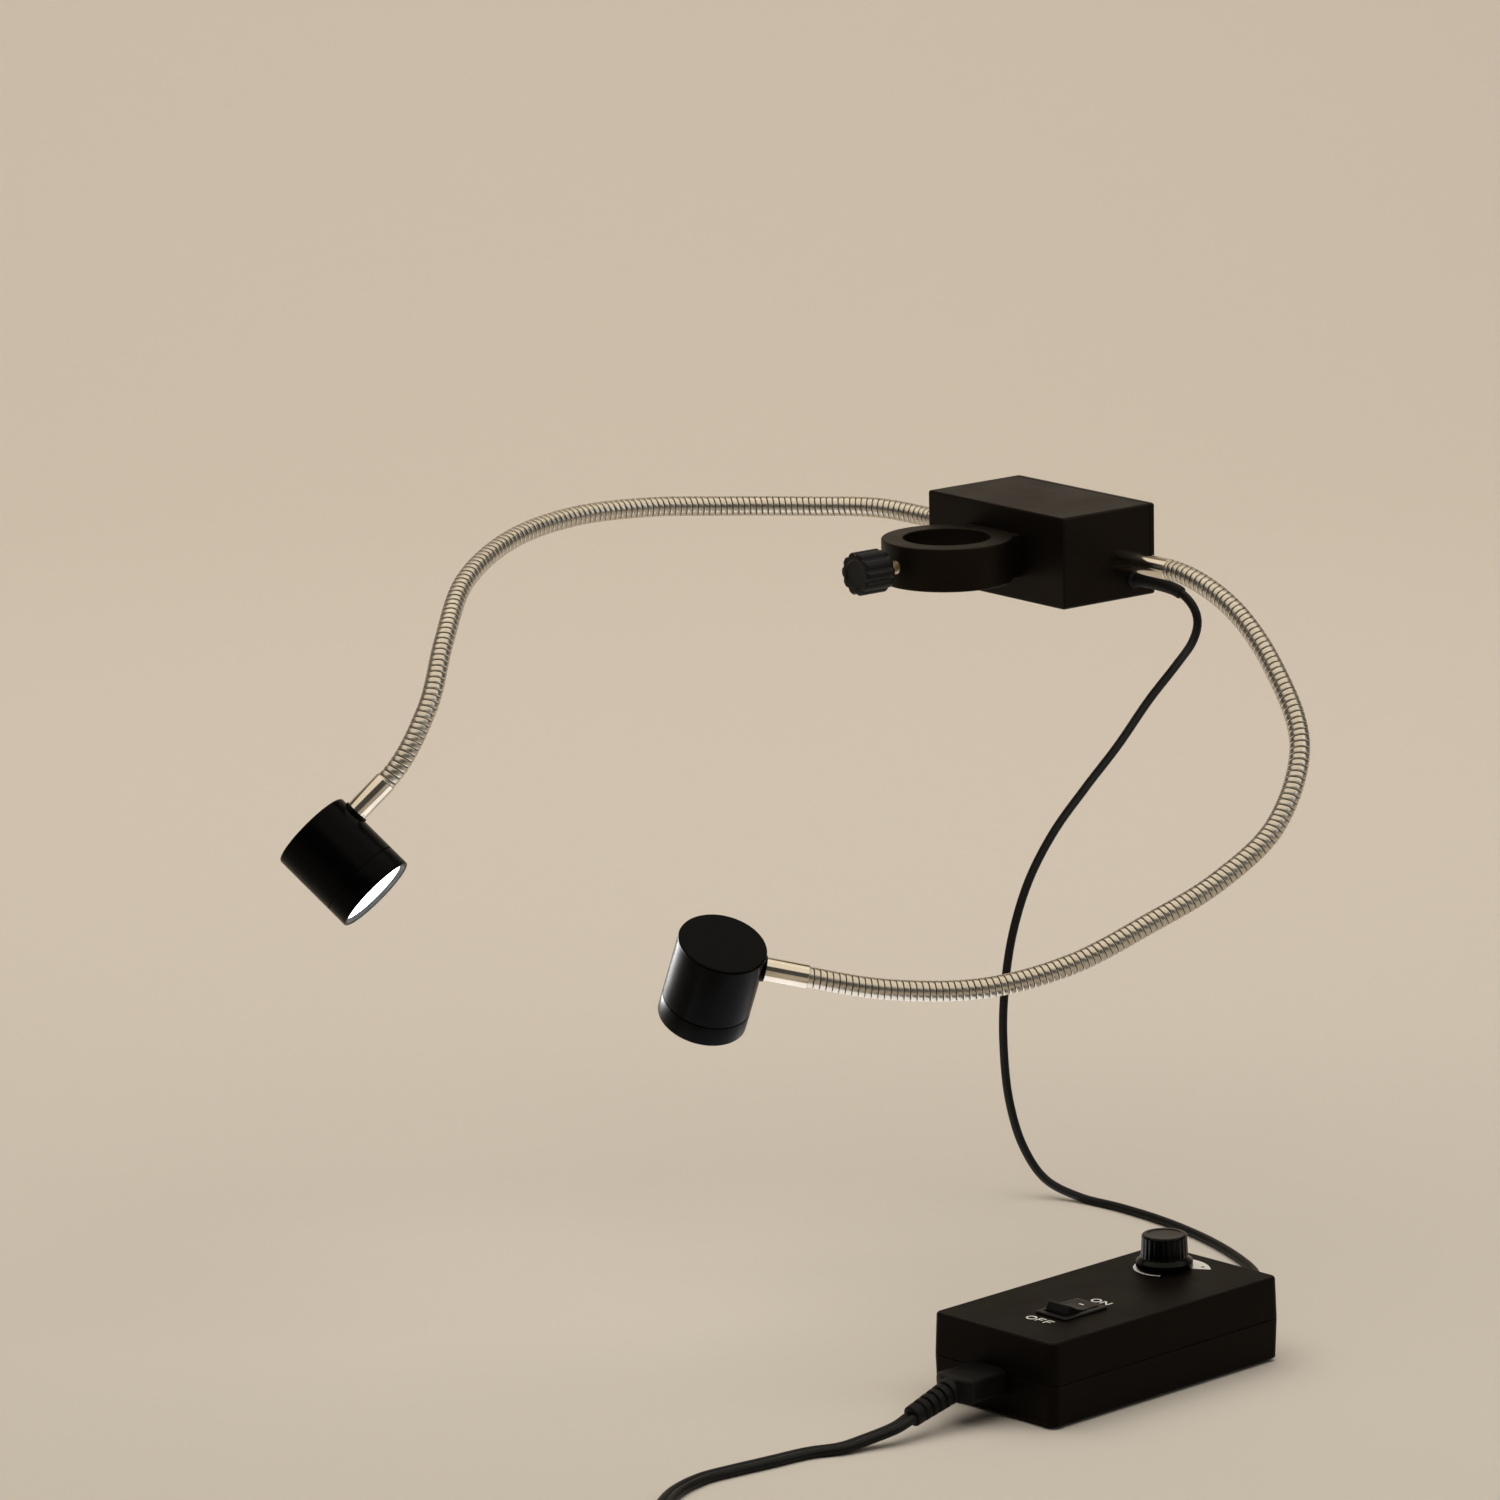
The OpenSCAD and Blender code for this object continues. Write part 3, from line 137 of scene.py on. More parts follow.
def grained(name, dark, pale, patch, grain, rough, depth, shader=None):
    # two close tones in patches, roughness that follows the patches, and a fine grain in relief
    material, tree, place = startMaterial(name)
    low, high, details, strength = pick(grainSet, "from to details strength")
    patches, fine = (
        addNode(tree, "TexNoise", {"Vector": place, "Scale": 1 / (size * metre), "Detail": detail})
        for size, detail in zip((patch, grain), details))
    spread = addNode(tree, "MapRange", [patches, low, high])
    tone = addNode(tree, "Mix", {0: spread, 6: linear(dark), 7: linear(pale)}, 2, data_type="RGBA")
    gloss = addNode(tree, "MapRange", [patches, low, high, *rough])
    endMaterial(tree, {"Base Color": tone, "Roughness": gloss, **(shader or {})}, fine, depth, strength)
    return material


# in winding, the seam's dark colour is painted shade between the turns
winding = {"dark": "#b3ab9c", "pale": "#d8d1c4", "grime": "#2b251d", "streak": 1.6, "detail": 4.0,
           "seam": (0.35, 0.9), "contrast": (0.25, 0.75), "worn": (0.26, 0.36), "dull": 0.7, "depth": 0.02,
           "strength": 0.4}


def woundSteel():
    # plated steel strip wound into conduit: bright rounded bands, with painted shade darkening the seam
    # between turns
    material, tree, place = startMaterial("platedSteelWound")
    dark, pale, seamShadeTone = (linear(code) for code in pick(winding, "dark pale grime"))
    seam = addNode(tree, "Attribute", output="Fac", attribute_name="groove")
    scale = 1 / (winding["streak"] * metre)
    streaks = addNode(tree, "TexNoise", {"Vector": place, "Scale": scale, "Detail": winding["detail"]})
    # painted shade: the deeper into the seam, the darker the colour
    grime = addNode(tree, "MapRange", [seam, *winding["seam"]])
    steel = addNode(tree, "Mix", {0: streaks, 6: dark, 7: pale}, 2, data_type="RGBA")
    tone = addNode(tree, "Mix", {0: grime, 6: steel, 7: seamShadeTone}, 2, data_type="RGBA")
    worn = addNode(tree, "MapRange", [streaks, *winding["contrast"], *winding["worn"]])
    gloss = addNode(tree, "Mix", {0: grime, 2: worn, 3: winding["dull"]}, data_type="FLOAT")
    inputs = {"Base Color": tone, "Roughness": gloss, "Metallic": 1.0}
    endMaterial(tree, inputs, streaks, *pick(winding, "depth strength"))
    return material


frosting = {"middle": "#ffffff", "rim": "#c3c9cc", "rimFrom": 0.86, "frost": 0.5, "detail": 2.0, "glow": 7.0,
            "rough": 0.35, "ior": 1.5, "depth": 0.02, "strength": 0.5}


def litGlass():
    # frosted glass lit from behind: even white, a little greyer and bluer towards its rim
    material, tree, place = startMaterial("frostedGlassLit")
    middle, edge = (linear(code) for code in pick(frosting, "middle rim"))
    spread = addNode(tree, "Attribute", output="Fac", attribute_name="rim")
    fade = addNode(tree, "MapRange", [spread, frosting["rimFrom"], 1.0])
    scale = 1 / (frosting["frost"] * metre)
    frost = addNode(tree, "TexNoise", {"Vector": place, "Scale": scale, "Detail": frosting["detail"]})
    glow = addNode(tree, "Mix", {0: fade, 6: middle, 7: edge}, 2, data_type="RGBA")
    inputs = {"Base Color": glow, "Emission Color": glow, "Emission Strength": frosting["glow"],
              "Roughness": frosting["rough"], "IOR": frosting["ior"]}
    endMaterial(tree, inputs, frost, *pick(frosting, "depth strength"))
    return material


shine = "Specular IOR Level"
metal = {"Metallic": 1.0}
# name, dark and pale tone, patches and grain in mm, roughness from and to, relief in mm, other sockets;
# real grain is finer than this, and is drawn as coarse as it needs to be to show
recipes = {
    # baked powder paint on die-cast zinc: satin black with a faint orange peel, brownish where it is rubbed
    "boxPaint": ("powderPaintSatin", "#080605", "#0f0b08", 26, 0.8, (0.44, 0.54), 0.03,
                 {shine: 0.16, "Specular Tint": linear("#f0d2b0")}),
    # stove enamel on turned aluminium: deeper black and glossier than the box, smooth to the eye
    "headPaint": ("stoveEnamelBlack", "#020202", "#040404", 18, 0.9, (0.2, 0.28), 0.008, {shine: 0.04}),
    # painted light: a dark grey skin over the bezel's black inner bevel, standing in for the lamp's light
    # falling on it
    "bevelLitGrey": ("bevelPaintedLightGrey", "#3c3d3e", "#484949", 6, 0.4, (0.35, 0.45), 0.01),
    # spark-eroded ABS moulding: matt black with a fine even grain
    "caseMoulding": ("absGrainedBlack", "#050403", "#080605", 30, 0.55, (0.5, 0.6), 0.05,
                     {shine: 0.09, "Specular Tint": linear("#f2dcc4")}),
    # polished phenolic knob: black with clear reflections, slightly smeared by fingers
    "knobMoulding": ("phenolicPolished", "#030303", "#060606", 7, 0.7, (0.14, 0.26), 0.006, {shine: 0.1}),
    # moulded nylon switch: black, half matt
    "switchMoulding": ("nylonMoulded", "#070707", "#0d0d0d", 6, 0.4, (0.36, 0.46), 0.02, {shine: 0.22}),
    # bright nickel on brass tube: warm mirror with very fine polishing haze
    "nickel": ("nickelPlatePolished", "#cfc5b4", "#ded6c8", 9, 1.2, (0.09, 0.17), 0.004, metal),
    # yellow-passivated steel screw: pale brassy metal, duller in its thread
    "studSteel": ("zincYellowSteel", "#b3a286", "#d3c6ab", 2, 0.5, (0.26, 0.4), 0.02, metal),
    # zinc-plated steel fasteners: cool grey metal with a soft bloom
    "zinc": ("zincPlatedSteel", "#8f9194", "#b4b6b8", 3, 0.4, (0.28, 0.42), 0.015, metal),
    # extruded PVC sheath: black with a soft sheen that varies along the cord
    "sheath": ("pvcSheathBlack", "#060606", "#0b0b0a", 14, 0.6, (0.4, 0.52), 0.02, {shine: 0.2}),
    # soft PVC mouldings on the cord: black, a little duller than the sheath
    "softMoulding": ("pvcMouldedSoft", "#060505", "#0a0908", 8, 0.5, (0.44, 0.56), 0.03, {shine: 0.16}),
    # rubber feet and bushes: dull black
    "rubber": ("rubberBlack", "#090909", "#0f0f0e", 5, 0.4, (0.62, 0.76), 0.05, {shine: 0.3}),
    # screen-printed ink: matt off-white with slight show-through
    "ink": ("screenInkWhite", "#d9d5ca", "#ece9e1", 1.5, 0.3, (0.5, 0.62), 0.01),
    # glass-epoxy laminate under green solder mask
    "laminate": ("epoxyLaminateGreen", "#1f4a30", "#2f6242", 4, 0.3, (0.3, 0.45), 0.02),
    # white solder mask on an aluminium lamp board
    "whiteMask": ("solderMaskWhite", "#e3e3df", "#f0f0ec", 3, 0.3, (0.35, 0.5), 0.01),
    # turned aluminium heat sink: bare pale metal
    "aluminium": ("aluminiumTurned", "#a6a8aa", "#c2c4c6", 5, 0.35, (0.25, 0.4), 0.02, metal),
    # dark moulded component bodies
    "component": ("epoxyComponent", "#1a1b1e", "#2c2b29", 3, 0.3, (0.45, 0.6), 0.02),
    # silicone dome over phosphor: pale yellow
    "dome": ("siliconeDome", "#e6d68c", "#f2e8b4", 2, 0.4, (0.15, 0.3), 0.005),
}
finish = {key: grained(*recipe) for key, recipe in recipes.items()}
finish["conduit"] = woundSteel()
finish["lens"] = litGlass()
print("materials made:", len(finish))


# Surfaces

def cells(numbers):
    # four corners of every cell in a grid of vertex numbers
    corners = [numbers[:-1, :-1], numbers[:-1, 1:], numbers[1:, 1:], numbers[1:, :-1]]
    return np.stack(corners, -1).reshape(-1, 4)


def wrap(rows, ring=False):
    # rows of points closed round; the two ends are closed by fans, or the last row meets the first in a ring
    rowCount, columnCount = rows.shape[:2]
    points = rows.reshape(-1, 3)
    numbers = np.arange(len(points)).reshape(rowCount, columnCount)
    numbers = np.concatenate([numbers, numbers[:, :1]], axis=1)
    if ring:
        return points, cells(np.concatenate([numbers, numbers[:1]])), np.zeros((0, 3), int)
    fans = [np.stack([line[1:], line[:-1], np.full(columnCount, len(points) + tip)], -1)
            for tip, line in enumerate((numbers[0], numbers[-1, ::-1]))]
    return np.vstack([points, rows[[0, -1]].mean(axis=1)]), cells(numbers), np.vstack(fans)


def outward(points, quads, fans):
    # turns all faces over where the volume they enclose comes out negative
    corners = np.vstack([quads[:, [0, 1, 2]], quads[:, [0, 2, 3]], fans])
    a, b, c = (points[corners] - points.mean(axis=0)).transpose(1, 0, 2)
    if np.sum(a * np.cross(b, c)) < 0:
        return points, quads[:, ::-1], fans[:, ::-1]
    return points, quads, fans


def addPiece(name, surfaces, finishName, stands="", body="fixture", crease=40, flat=False, marks=None):
    # one object from closed surfaces; flat weights normals by face size, marks are values for each point
    mesh = bpy.data.meshes.new(name)
    faces, start = [], 0
    for points, quads, fans in (outward(*surface) for surface in surfaces):
        faces += (quads + start).tolist() + (fans + start).tolist()
        start += len(points)
    points = np.vstack([surface[0] for surface in surfaces]) * metre
    mesh.from_pydata(points.tolist(), [], faces)
    for key, values in (marks or {}).items():
        mesh.attributes.new(key, "FLOAT", "POINT").data.foreach_set("value", np.asarray(values, np.float32))
    mesh.shade_smooth()
    mesh.set_sharp_from_angle(angle=math.radians(crease))
    mesh.materials.append(finish[finishName])
    piece = bpy.data.objects.new(name, mesh)
    scene.collection.objects.link(piece)
    if flat:
        weigh = piece.modifiers.new("flatFaces", "WEIGHTED_NORMAL")
        weigh.keep_sharp = True
    if body:
        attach(piece, body)
    if stands:
        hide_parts(*stands.split())
    return piece


def seatAlong(origin, way, hint):
    # a piece's own axes: z along way, x as near to hint as it can be
    z = unit(way)
    x = unit(np.asarray(hint, float) - np.dot(hint, z) * z)
    return np.asarray(origin, float), np.array([x, np.cross(z, x), z])


def carry(points, seat):
    return seat[0] + np.asarray(points, float) @ seat[1]


def roundedLine(corners, arcPoints=6, closed=False):
    # a line through corners (x, y, radius), each one rounded by an arc tangent to both sides
    spots = np.array([corner[:2] for corner in corners], float)
    parts = []
    for i, corner in enumerate(corners):
        radius = corner[2] if len(corner) > 2 else 0
        if not radius or (not closed and i in (0, len(corners) - 1)):
            parts.append(spots[i:i + 1])
            continue
        before, after = unit(spots[i - 1] - spots[i]), unit(spots[(i + 1) % len(spots)] - spots[i])
        half = math.acos(np.clip(before @ after, -1, 1)) / 2
        middle = spots[i] + unit(before + after) * radius / math.sin(half)
        first, last = (spots[i] + way * radius / math.tan(half) - middle for way in (before, after))
        bend = math.pi - 2 * half
        t = np.linspace(0, 1, arcPoints)[:, None]
        parts.append(middle + (np.sin((1 - t) * bend) * first + np.sin(t * bend) * last) / math.sin(bend))
    return np.vstack(parts)


def fullTurn(count):
    return np.linspace(0, 2 * np.pi, count, endpoint=False)


def onCircle(radius, angle):
    return np.stack([radius * np.cos(angle), radius * np.sin(angle)], -1)


def raised(flat, height):
    # points in x and y with a height put to them
    return np.concatenate([flat, np.broadcast_to(height, flat.shape[:-1] + (1,))], -1)


def squareTo(outline):
    # directions square to a closed outline, from the step between each point's neighbours
    along = unit(np.roll(outline, -1, 0) - np.roll(outline, 1, 0))
    return np.stack([along[:, 1], -along[:, 0]], -1)


def lathe(profile, seat, sides=96, ring=False):
    # a profile of (radius, height) turned about the seat's z
    radius, height = np.asarray(profile, float).T[..., None]
    return wrap(carry(raised(onCircle(radius, fullTurn(sides)), height[..., None]), seat), ring)


def addTurned(name, corners, seat, sides, finishName, stands="", ring=True, **more):
    # corners of a profile (radius, height, rounding) turned about the seat's z
    return addPiece(name, [lathe(roundedLine(corners), seat, sides, ring)], finishName, stands, **more)


def rectRows(steps, arcPoints=8):
    # rounded rectangles one above another: height, half width, half depth, corner radius, middle x and y
    height, halfX, halfY, corner, midX, midY = np.array(steps, float).T[..., None]
    turn = (np.arange(4)[:, None] * np.pi / 2 + np.linspace(0, np.pi / 2, arcPoints)).ravel()
    x = midX + np.repeat([1, -1, -1, 1], arcPoints) * (halfX - corner) + corner * np.cos(turn)
    y = midY + np.repeat([1, 1, -1, -1], arcPoints) * (halfY - corner) + corner * np.sin(turn)
    return np.stack([x, y, height + 0 * x], -1)


def insetSteps(line, half, corner, middle=(0, 0), least=0.3):
    # steps for rectRows from a line of (inset, height)
    return [(height, half[0] - inset, half[1] - inset, max(corner - inset, least), *middle)
            for inset, height in line]


def addBoxed(name, steps, seat, finishName, stands, ring=False, arcPoints=8, flat=True):
    # rounded rectangles from rectRows, seated and closed
    rows = carry(rectRows(steps, arcPoints), seat)
    return addPiece(name, [wrap(rows, ring)], finishName, stands, flat=flat)


def hermite(points, first, last, perSpan):
    # smooth curve through points: at each one the slope is half the step between its neighbours
    points = np.asarray(points, float)
    slopes = np.empty_like(points)
    slopes[1:-1] = (points[2:] - points[:-2]) / 2
    slopes[0] = unit(first) * np.linalg.norm(points[1] - points[0])
    slopes[-1] = unit(last) * np.linalg.norm(points[-1] - points[-2])
    t = np.linspace(0, 1, perSpan, endpoint=False)[:, None]
    spans = ((2 * t ** 3 - 3 * t ** 2 + 1) * points[:-1, None] + (t ** 3 - 2 * t ** 2 + t) * slopes[:-1, None]
             + (3 * t ** 2 - 2 * t ** 3) * points[1:, None] + (t ** 3 - t ** 2) * slopes[1:, None])
    return np.vstack([spans.reshape(-1, 3), points[-1:]])


def lengthsAlong(path):
    return np.concatenate([[0], np.cumsum(np.linalg.norm(np.diff(path, axis=0), axis=1))])


def pointsAt(stops, reach, path):
    return np.stack([np.interp(stops, reach, path[:, k]) for k in range(3)], -1)


def resample(path, spacing):
    reach = lengthsAlong(path)
    return pointsAt(np.linspace(0, reach[-1], int(round(reach[-1] / spacing)) + 1), reach, path)


def waysAlong(path):
    return unit(np.gradient(path, axis=0))


def carriedSides(ways, hint):
    # a side direction taken along the path without twisting
    sides = [unit(hint - np.dot(hint, ways[0]) * ways[0])]
    for way in ways[1:]:
        sides.append(unit(sides[-1] - np.dot(sides[-1], way) * way))
    return np.array(sides)


def sweep(path, across, outline):
    # an outline (x across, y the other side) carried along a path; outline may change from row to row
    over = unit(np.cross(waysAlong(path), across))
    outline = np.broadcast_to(outline, (len(path),) + outline.shape[-2:])
    return wrap(path[:, None] + outline[..., :1] * across[:, None] + outline[..., 1:] * over[:, None])


def roundTube(path, radius, sides, hint):
    # circles carried along a path without twisting
    return sweep(path, carriedSides(waysAlong(path), np.array(hint)), onCircle(radius, fullTurn(sides)))


def stroke(line, width, thick, ring=False):
    # ink: a flat rectangle of that width and thickness carried along a line that lies in x and y
    up = np.array([0.0, 0.0, 1.0])
    along = np.roll(line, -1, 0) - np.roll(line, 1, 0) if ring else np.gradient(line, axis=0)
    side = unit(np.cross(up, along)) * width / 2
    return np.stack([line - side, line + side, line + side + up * thick, line - side + up * thick], 1)


# The control box has its own frame: its middle on the table, turned a little
tableZ = -248.0
controlTurn = math.radians(5)
control = seatAlong((194.0, -93.8, tableZ), (0, 0, 1), (math.cos(controlTurn), math.sin(controlTurn), 0))


# Cords

lead = {
    "diameter": 3.2, "sides": 18, "spacing": 1.6, "perSpan": 24, "hint": (0.1, 1, 0.2),
    "inside": (34.5, 57.1, -10), "exit": (40.0, 57.1, -10),
    "drop": [(3, 0, 0), (10, 0, 0), (22, 0, -1), (30, 0, -5), (33, 0, -11), (30, 0, -19), (21, 0, -29)],
    "run": [(48, 55, -54), (33, 53, -73), (18, 50, -91), (4, 46, -110), (-5, 41, -130), (-9, 36, -152),
            (-9, 32, -175), (-8, 31, -195), (-5, 31, -213), (0, 33, -229), (8, 37, -241), (22, 42, -246),
            (42, 45, -246.4), (66, 45, -246.4), (92, 41.5, -246.4), (116, 35, -246.4), (137, 26, -246.4),
            (152, 14.5, -246.4)],
    "mouth": (-10.0, 68.0, 10.0), "stop": (-10.0, 52.5, 10.0),
    "rise": [(-8, 29, -7.5), (-1.6, 18, -4.2), (0, 5, 0), (0, 0, 0)]}


def leadPath():
    start, drop, mouth, rise = (np.array(part, float) for part in pick(lead, "exit drop mouth rise"))
    points = np.vstack([[lead["inside"]], start + drop, lead["run"], carry(mouth + rise, control),
                        [carry(lead["stop"], control)]])
    return resample(hermite(points, (1, 0, 0), -control[1][1], lead["perSpan"]), lead["spacing"])


def addLead():
    path = leadPath()
    tube = roundTube(path, lead["diameter"] / 2, lead["sides"], lead["hint"])
    piece = addPiece("lowVoltageLead", [tube], "sheath", "low_voltage_lead")


mains = {
    "width": 6.0, "thick": 3.2, "core": 1.6, "spacing": 2.0, "inlet": (-1.0, -56.0, 13.0), "grip": 18.0,
    "relief": 21.0, "tilt": 15.0, "straight": 8.0, "drop": [(-1.5, -19, -4.4), (-3, -28, -5.6)],
    "run": [(194, -227, -246.4), (193, -243, -246.4), (192, -258, -246.4), (192, -270, -246.4),
            (196, -283, -246.4), (203, -294, -246.4), (214, -306, -246.4), (227, -319, -246.2),
            (238, -332, -245.6), (245, -346, -245)],
    "perSpan": 24, "tailSpan": 12, "inRelief": 4.0, "inPlug": 6.0, "tail": 18.0, "tailRise": 0.6}
coil = {"middle": (290.0, -365.0), "turns": 3, "climb": 0.5, "radius": 33.0, "gap": 0.8, "dip": 1.5,
        "lift": 1.5, "perTurn": 48, "lead": 6.0}
coilFloor = tableZ + mains["thick"] / 2 + coil["lift"]
coilLayer = mains["thick"] + coil["gap"]
plug = {"width": 25.0, "thick": 17.0, "length": 24.0, "sleeve": 12.0, "sleeveStart": 3.8, "sleeveEnd": 6.5,
        "swell": 4.0, "ribStep": 3.0, "ribHalf": 0.6, "ribDeep": 0.35, "ribsEnd": 9.0, "edge": 1.0}


def reliefWay():
    tilt = math.radians(mains["tilt"])
    return np.array([0, -math.cos(tilt), -math.sin(tilt)]) @ control[1]


def reliefFace():
    x, y, z = mains["inlet"]
    return carry((x, y - mains["grip"], z), control) + mains["relief"] * reliefWay()


def coilPath():
    # in along the table by one width a turn, up a layer in half a turn, and out again on top
    turns, climb, middle, dip = pick(coil, "turns climb radius dip")
    step = mains["width"] + coil["gap"]
    inner, outer = middle - turns * step / 2, middle + turns * step / 2
    turn = np.linspace(0, 2 * turns + climb, int((2 * turns + climb) * coil["perTurn"]) + 1)
    rise = np.clip((turn - turns) / climb, 0, 1)
    radius = np.where(turn <= turns, outer - step * turn, inner - dip * np.sin(np.pi * rise))
    radius = np.where(rise >= 1, inner + step * (turn - turns - climb), radius)
    height = coilFloor + coilLayer * rise ** 2 * (3 - 2 * rise)
    loops = raised(np.array(coil["middle"]) + onCircle(radius, np.pi + 2 * np.pi * turn), height[:, None])
    straight = np.array([[0, coil["lead"], 0]])
    return np.vstack([loops[:1] + straight, loops, loops[-1:] + straight])


def plugFace():
    stop = coilPath()[-1]
    return np.array([stop[0], stop[1] + mains["tail"], tableZ + plug["thick"] / 2])


def mainsPath():
    # a smooth line down to the table, the coil, and a short tail up into the plug
    face, way, loops, end = reliefFace(), reliefWay(), coilPath(), plugFace()
    near = np.vstack([[face, face + mains["straight"] * way], face + np.array(mains["drop"]), mains["run"],
                      loops[:1]])
    bend = loops[-1] + np.array([0, mains["tail"] / 2, mains["tailRise"]])
    tail = hermite([loops[-1], bend, end], (0, 1, 0), (0, 1, 0), mains["tailSpan"])
    whole = np.vstack([[face - mains["inRelief"] * way], hermite(near, way, (0, -1, 0), mains["perSpan"]),
                       loops[1:-1], tail, [end + np.array([0, mains["inPlug"], 0])]])
    return resample(whole, mains["spacing"])


def addMainsCord(pieces):
    # two round cores side by side, joined at a waist
    path = mainsPath()
    core = mains["core"]
    offset = mains["width"] / 2 - core
    waist = math.pi - math.acos(offset / core)
    lobe = onCircle(core, np.linspace(-waist, waist, 12)) + (offset, 0)
    across = unit(np.cross(waysAlong(path), [0, 0, 1]))
    twin = sweep(path, across, np.vstack([lobe, -lobe]))
    piece = addPiece("mainsCord", [twin], "sheath", "mains_cord mains_coil")


def addMoulding(name, stands, path, across, halves, power, columns=40):
    # superellipse carried along a path: power 2 is an ellipse, larger powers near a rectangle
    angle = fullTurn(columns)
    section = np.stack([half[:, None] * np.sign(wave) * np.abs(wave) ** (2 / power[:, None])
                        for half, wave in zip(halves, (np.cos(angle), np.sin(angle)))], -1)
    surface = sweep(path, np.broadcast_to(across, path.shape), section)
    return addPiece(name, [surface], "softMoulding", stands)


connector = {"halfWidth": 9.0, "halfHeight": 4.8, "gap": 0.3, "bend": 12.0, "spacing": 0.22, "waist": 0.5,
             "backEdge": 0.9, "tipEdge": 0.7, "meet": 1.6, "blend": 2.6, "square": 5, "reliefStart": 4.6,
             "reliefEnd": 3.7, "ribStep": 3.2, "ribFrom": 3.2, "ribs": 5, "ribWidth": 1.3, "ribDepth": 0.75,
             "ribSlope": 0.35}


def addConnector():
    # grip with a slight waist, then a tapering relief that bends down and has grooves round it; the one goes
    # over into the other by a squared share of the distance s, less a rounding at each end
    grip, relief, tilt = mains["grip"], mains["relief"], math.radians(mains["tilt"])
    tip = (grip + relief * math.cos(tilt), -relief * math.sin(tilt))
    bent = roundedLine([(connector["gap"], 0), (grip, 0, connector["bend"]), tip], 10)
    local = np.stack([0 * bent[:, 0], -bent[:, 0], bent[:, 1]], -1) + np.array(mains["inlet"])
    path = resample(carry(local, control), connector["spacing"])
    s = lengthsAlong(path)
    share = np.clip((s - grip + connector["meet"]) / connector["blend"], 0, 1) ** 2
    step, half, slope = connector["ribStep"], connector["ribWidth"] / 2, connector["ribSlope"]
    phase = (s - grip - connector["ribFrom"]) / step
    dip = np.clip(half - np.abs(phase % 1 * step - half), 0, slope) / slope * connector["ribDepth"]
    taper = np.interp(s, [grip, grip + relief], pick(connector, "reliefStart reliefEnd"))
    taper = taper - np.where((phase > 0) & (phase < connector["ribs"]), dip, 0)
    back, front = pick(connector, "backEdge tipEdge")
    edge = back * np.clip(1 - s / back, 0, 1) ** 2 + front * np.clip((s - s[-1] + front) / front, 0, 1) ** 2
    waist = connector["waist"] * np.sin(np.pi * np.clip(s / grip, 0, 1)) ** 2
    halves = [(1 - share) * size + share * taper - edge
              for size in (connector["halfWidth"] - waist, connector["halfHeight"])]
    power = connector["square"] + (2 - connector["square"]) * share
    return addMoulding("mainsConnector", "mains_connector", path, control[1][0], halves, power)


def addPlug():
    # grooved sleeve that swells into a flat-sided body by a smooth step, its end rounded by a quarter circle;
    # rows lie closer where it swells and where its end is rounded
    neck, wide, edge, deep = pick(plug, "sleeve sleeveEnd edge ribDeep")
    stop = neck + plug["length"] - edge
    s = np.concatenate([np.linspace(0, neck, 20), np.linspace(neck + 0.3, neck + 5, 16),
                        np.linspace(neck + 6, stop, 10),
                        stop + edge * np.sin(np.linspace(0.2, np.pi / 2, 6))])
    swell = np.clip((s - neck) / plug["swell"], 0, 1)
    swell = swell * swell * (3 - 2 * swell)
    inRib = (np.abs(s % plug["ribStep"] - plug["ribStep"] / 2) < plug["ribHalf"]) & (s < plug["ribsEnd"])
    stem = np.interp(s, [0, neck], [plug["sleeveStart"], wide]) - deep * inRib
    end = edge - np.sqrt(np.clip(edge ** 2 - np.clip(s - s[-1] + edge, 0, edge) ** 2, 0, None))
    halves = [stem + swell * (size / 2 - wide) - end for size in pick(plug, "width thick")]
    path = plugFace() + s[:, None] * np.array([0.0, 1, 0])
    return addMoulding("mainsPlug", "mains_plug", path, [1.0, 0, 0], halves, 2 + 3 * swell)


tie = {"half": (11.3, 5.1), "thick": 0.8, "width": 7.0, "corner": 1.5, "round": 0.2, "radius": 31.3}


def addTie():
    # flat band round all the turns
    x, y = coil["middle"]
    seat = seatAlong((x, y + tie["radius"], coilFloor + coilLayer / 2), (1, 0, 0), (0, 1, 0))
    half, thick = tie["width"] / 2, tie["thick"]
    flat = [(0, -half), (0, half), (thick, half), (thick, -half)]
    line = roundedLine([(*corner, tie["round"]) for corner in flat], 4, True)
    steps = insetSteps(line, tie["half"], tie["corner"])
    return addBoxed("coilTie", steps, seat, "softMoulding", "coil_tie", True, 6, False)


addLead()
addMainsCord([addConnector(), addPlug(), addTie(), nodes["plug_blades"]])
print("cords laid")


# Necks

arms = {
    "right": {
        "start": (65.0, 51.1, -2.0), "first": (1, 0, 0), "entry": (-0.55, -0.80, 0.23),
        "beam": (-0.47, 0.07, -0.88),
        "steps": [(0, 0, 0), (30, 2, -9), (56, 0, -28), (76, -6, -52), (83, -24, -77), (80, -49, -94),
                  (73, -75, -106), (63, -103, -118), (50, -132, -124), (33, -160, -123), (17, -185, -117)]},
    "left": {
        "start": (-65.0, 51.1, -2.0), "first": (-1, 0, 0), "entry": (-0.35, -0.63, -0.70),
        "beam": (0.66, 0.36, -0.66),
        "steps": [(0, 0, 0), (-27, -8, 2), (-49, -26, 2), (-66, -51, 3), (-77, -81, 5), (-81, -113, 5),
                  (-77, -145, 1), (-66, -174, -9), (-51, -195, -26), (-41, -211, -48), (-42, -229, -71.4)]},
}
conduit = {
    "pitch": 2.3, "sides": 26, "bore": 2.4, "sections": 5, "perSpan": 60, "inFerrule": 3.0, "bendHalf": 14.0,
    "firstBend": 8.0,
    # one band, as shares of the pitch and radii: nearly flat, with rounded edges that drop into the seam
    "band": [(0.0, 3.36), (0.045, 3.42), (0.085, 3.6), (0.15, 3.68), (0.3, 3.715), (0.5, 3.73), (0.7, 3.75),
             (0.86, 3.73), (0.925, 3.62), (0.965, 3.42)]}


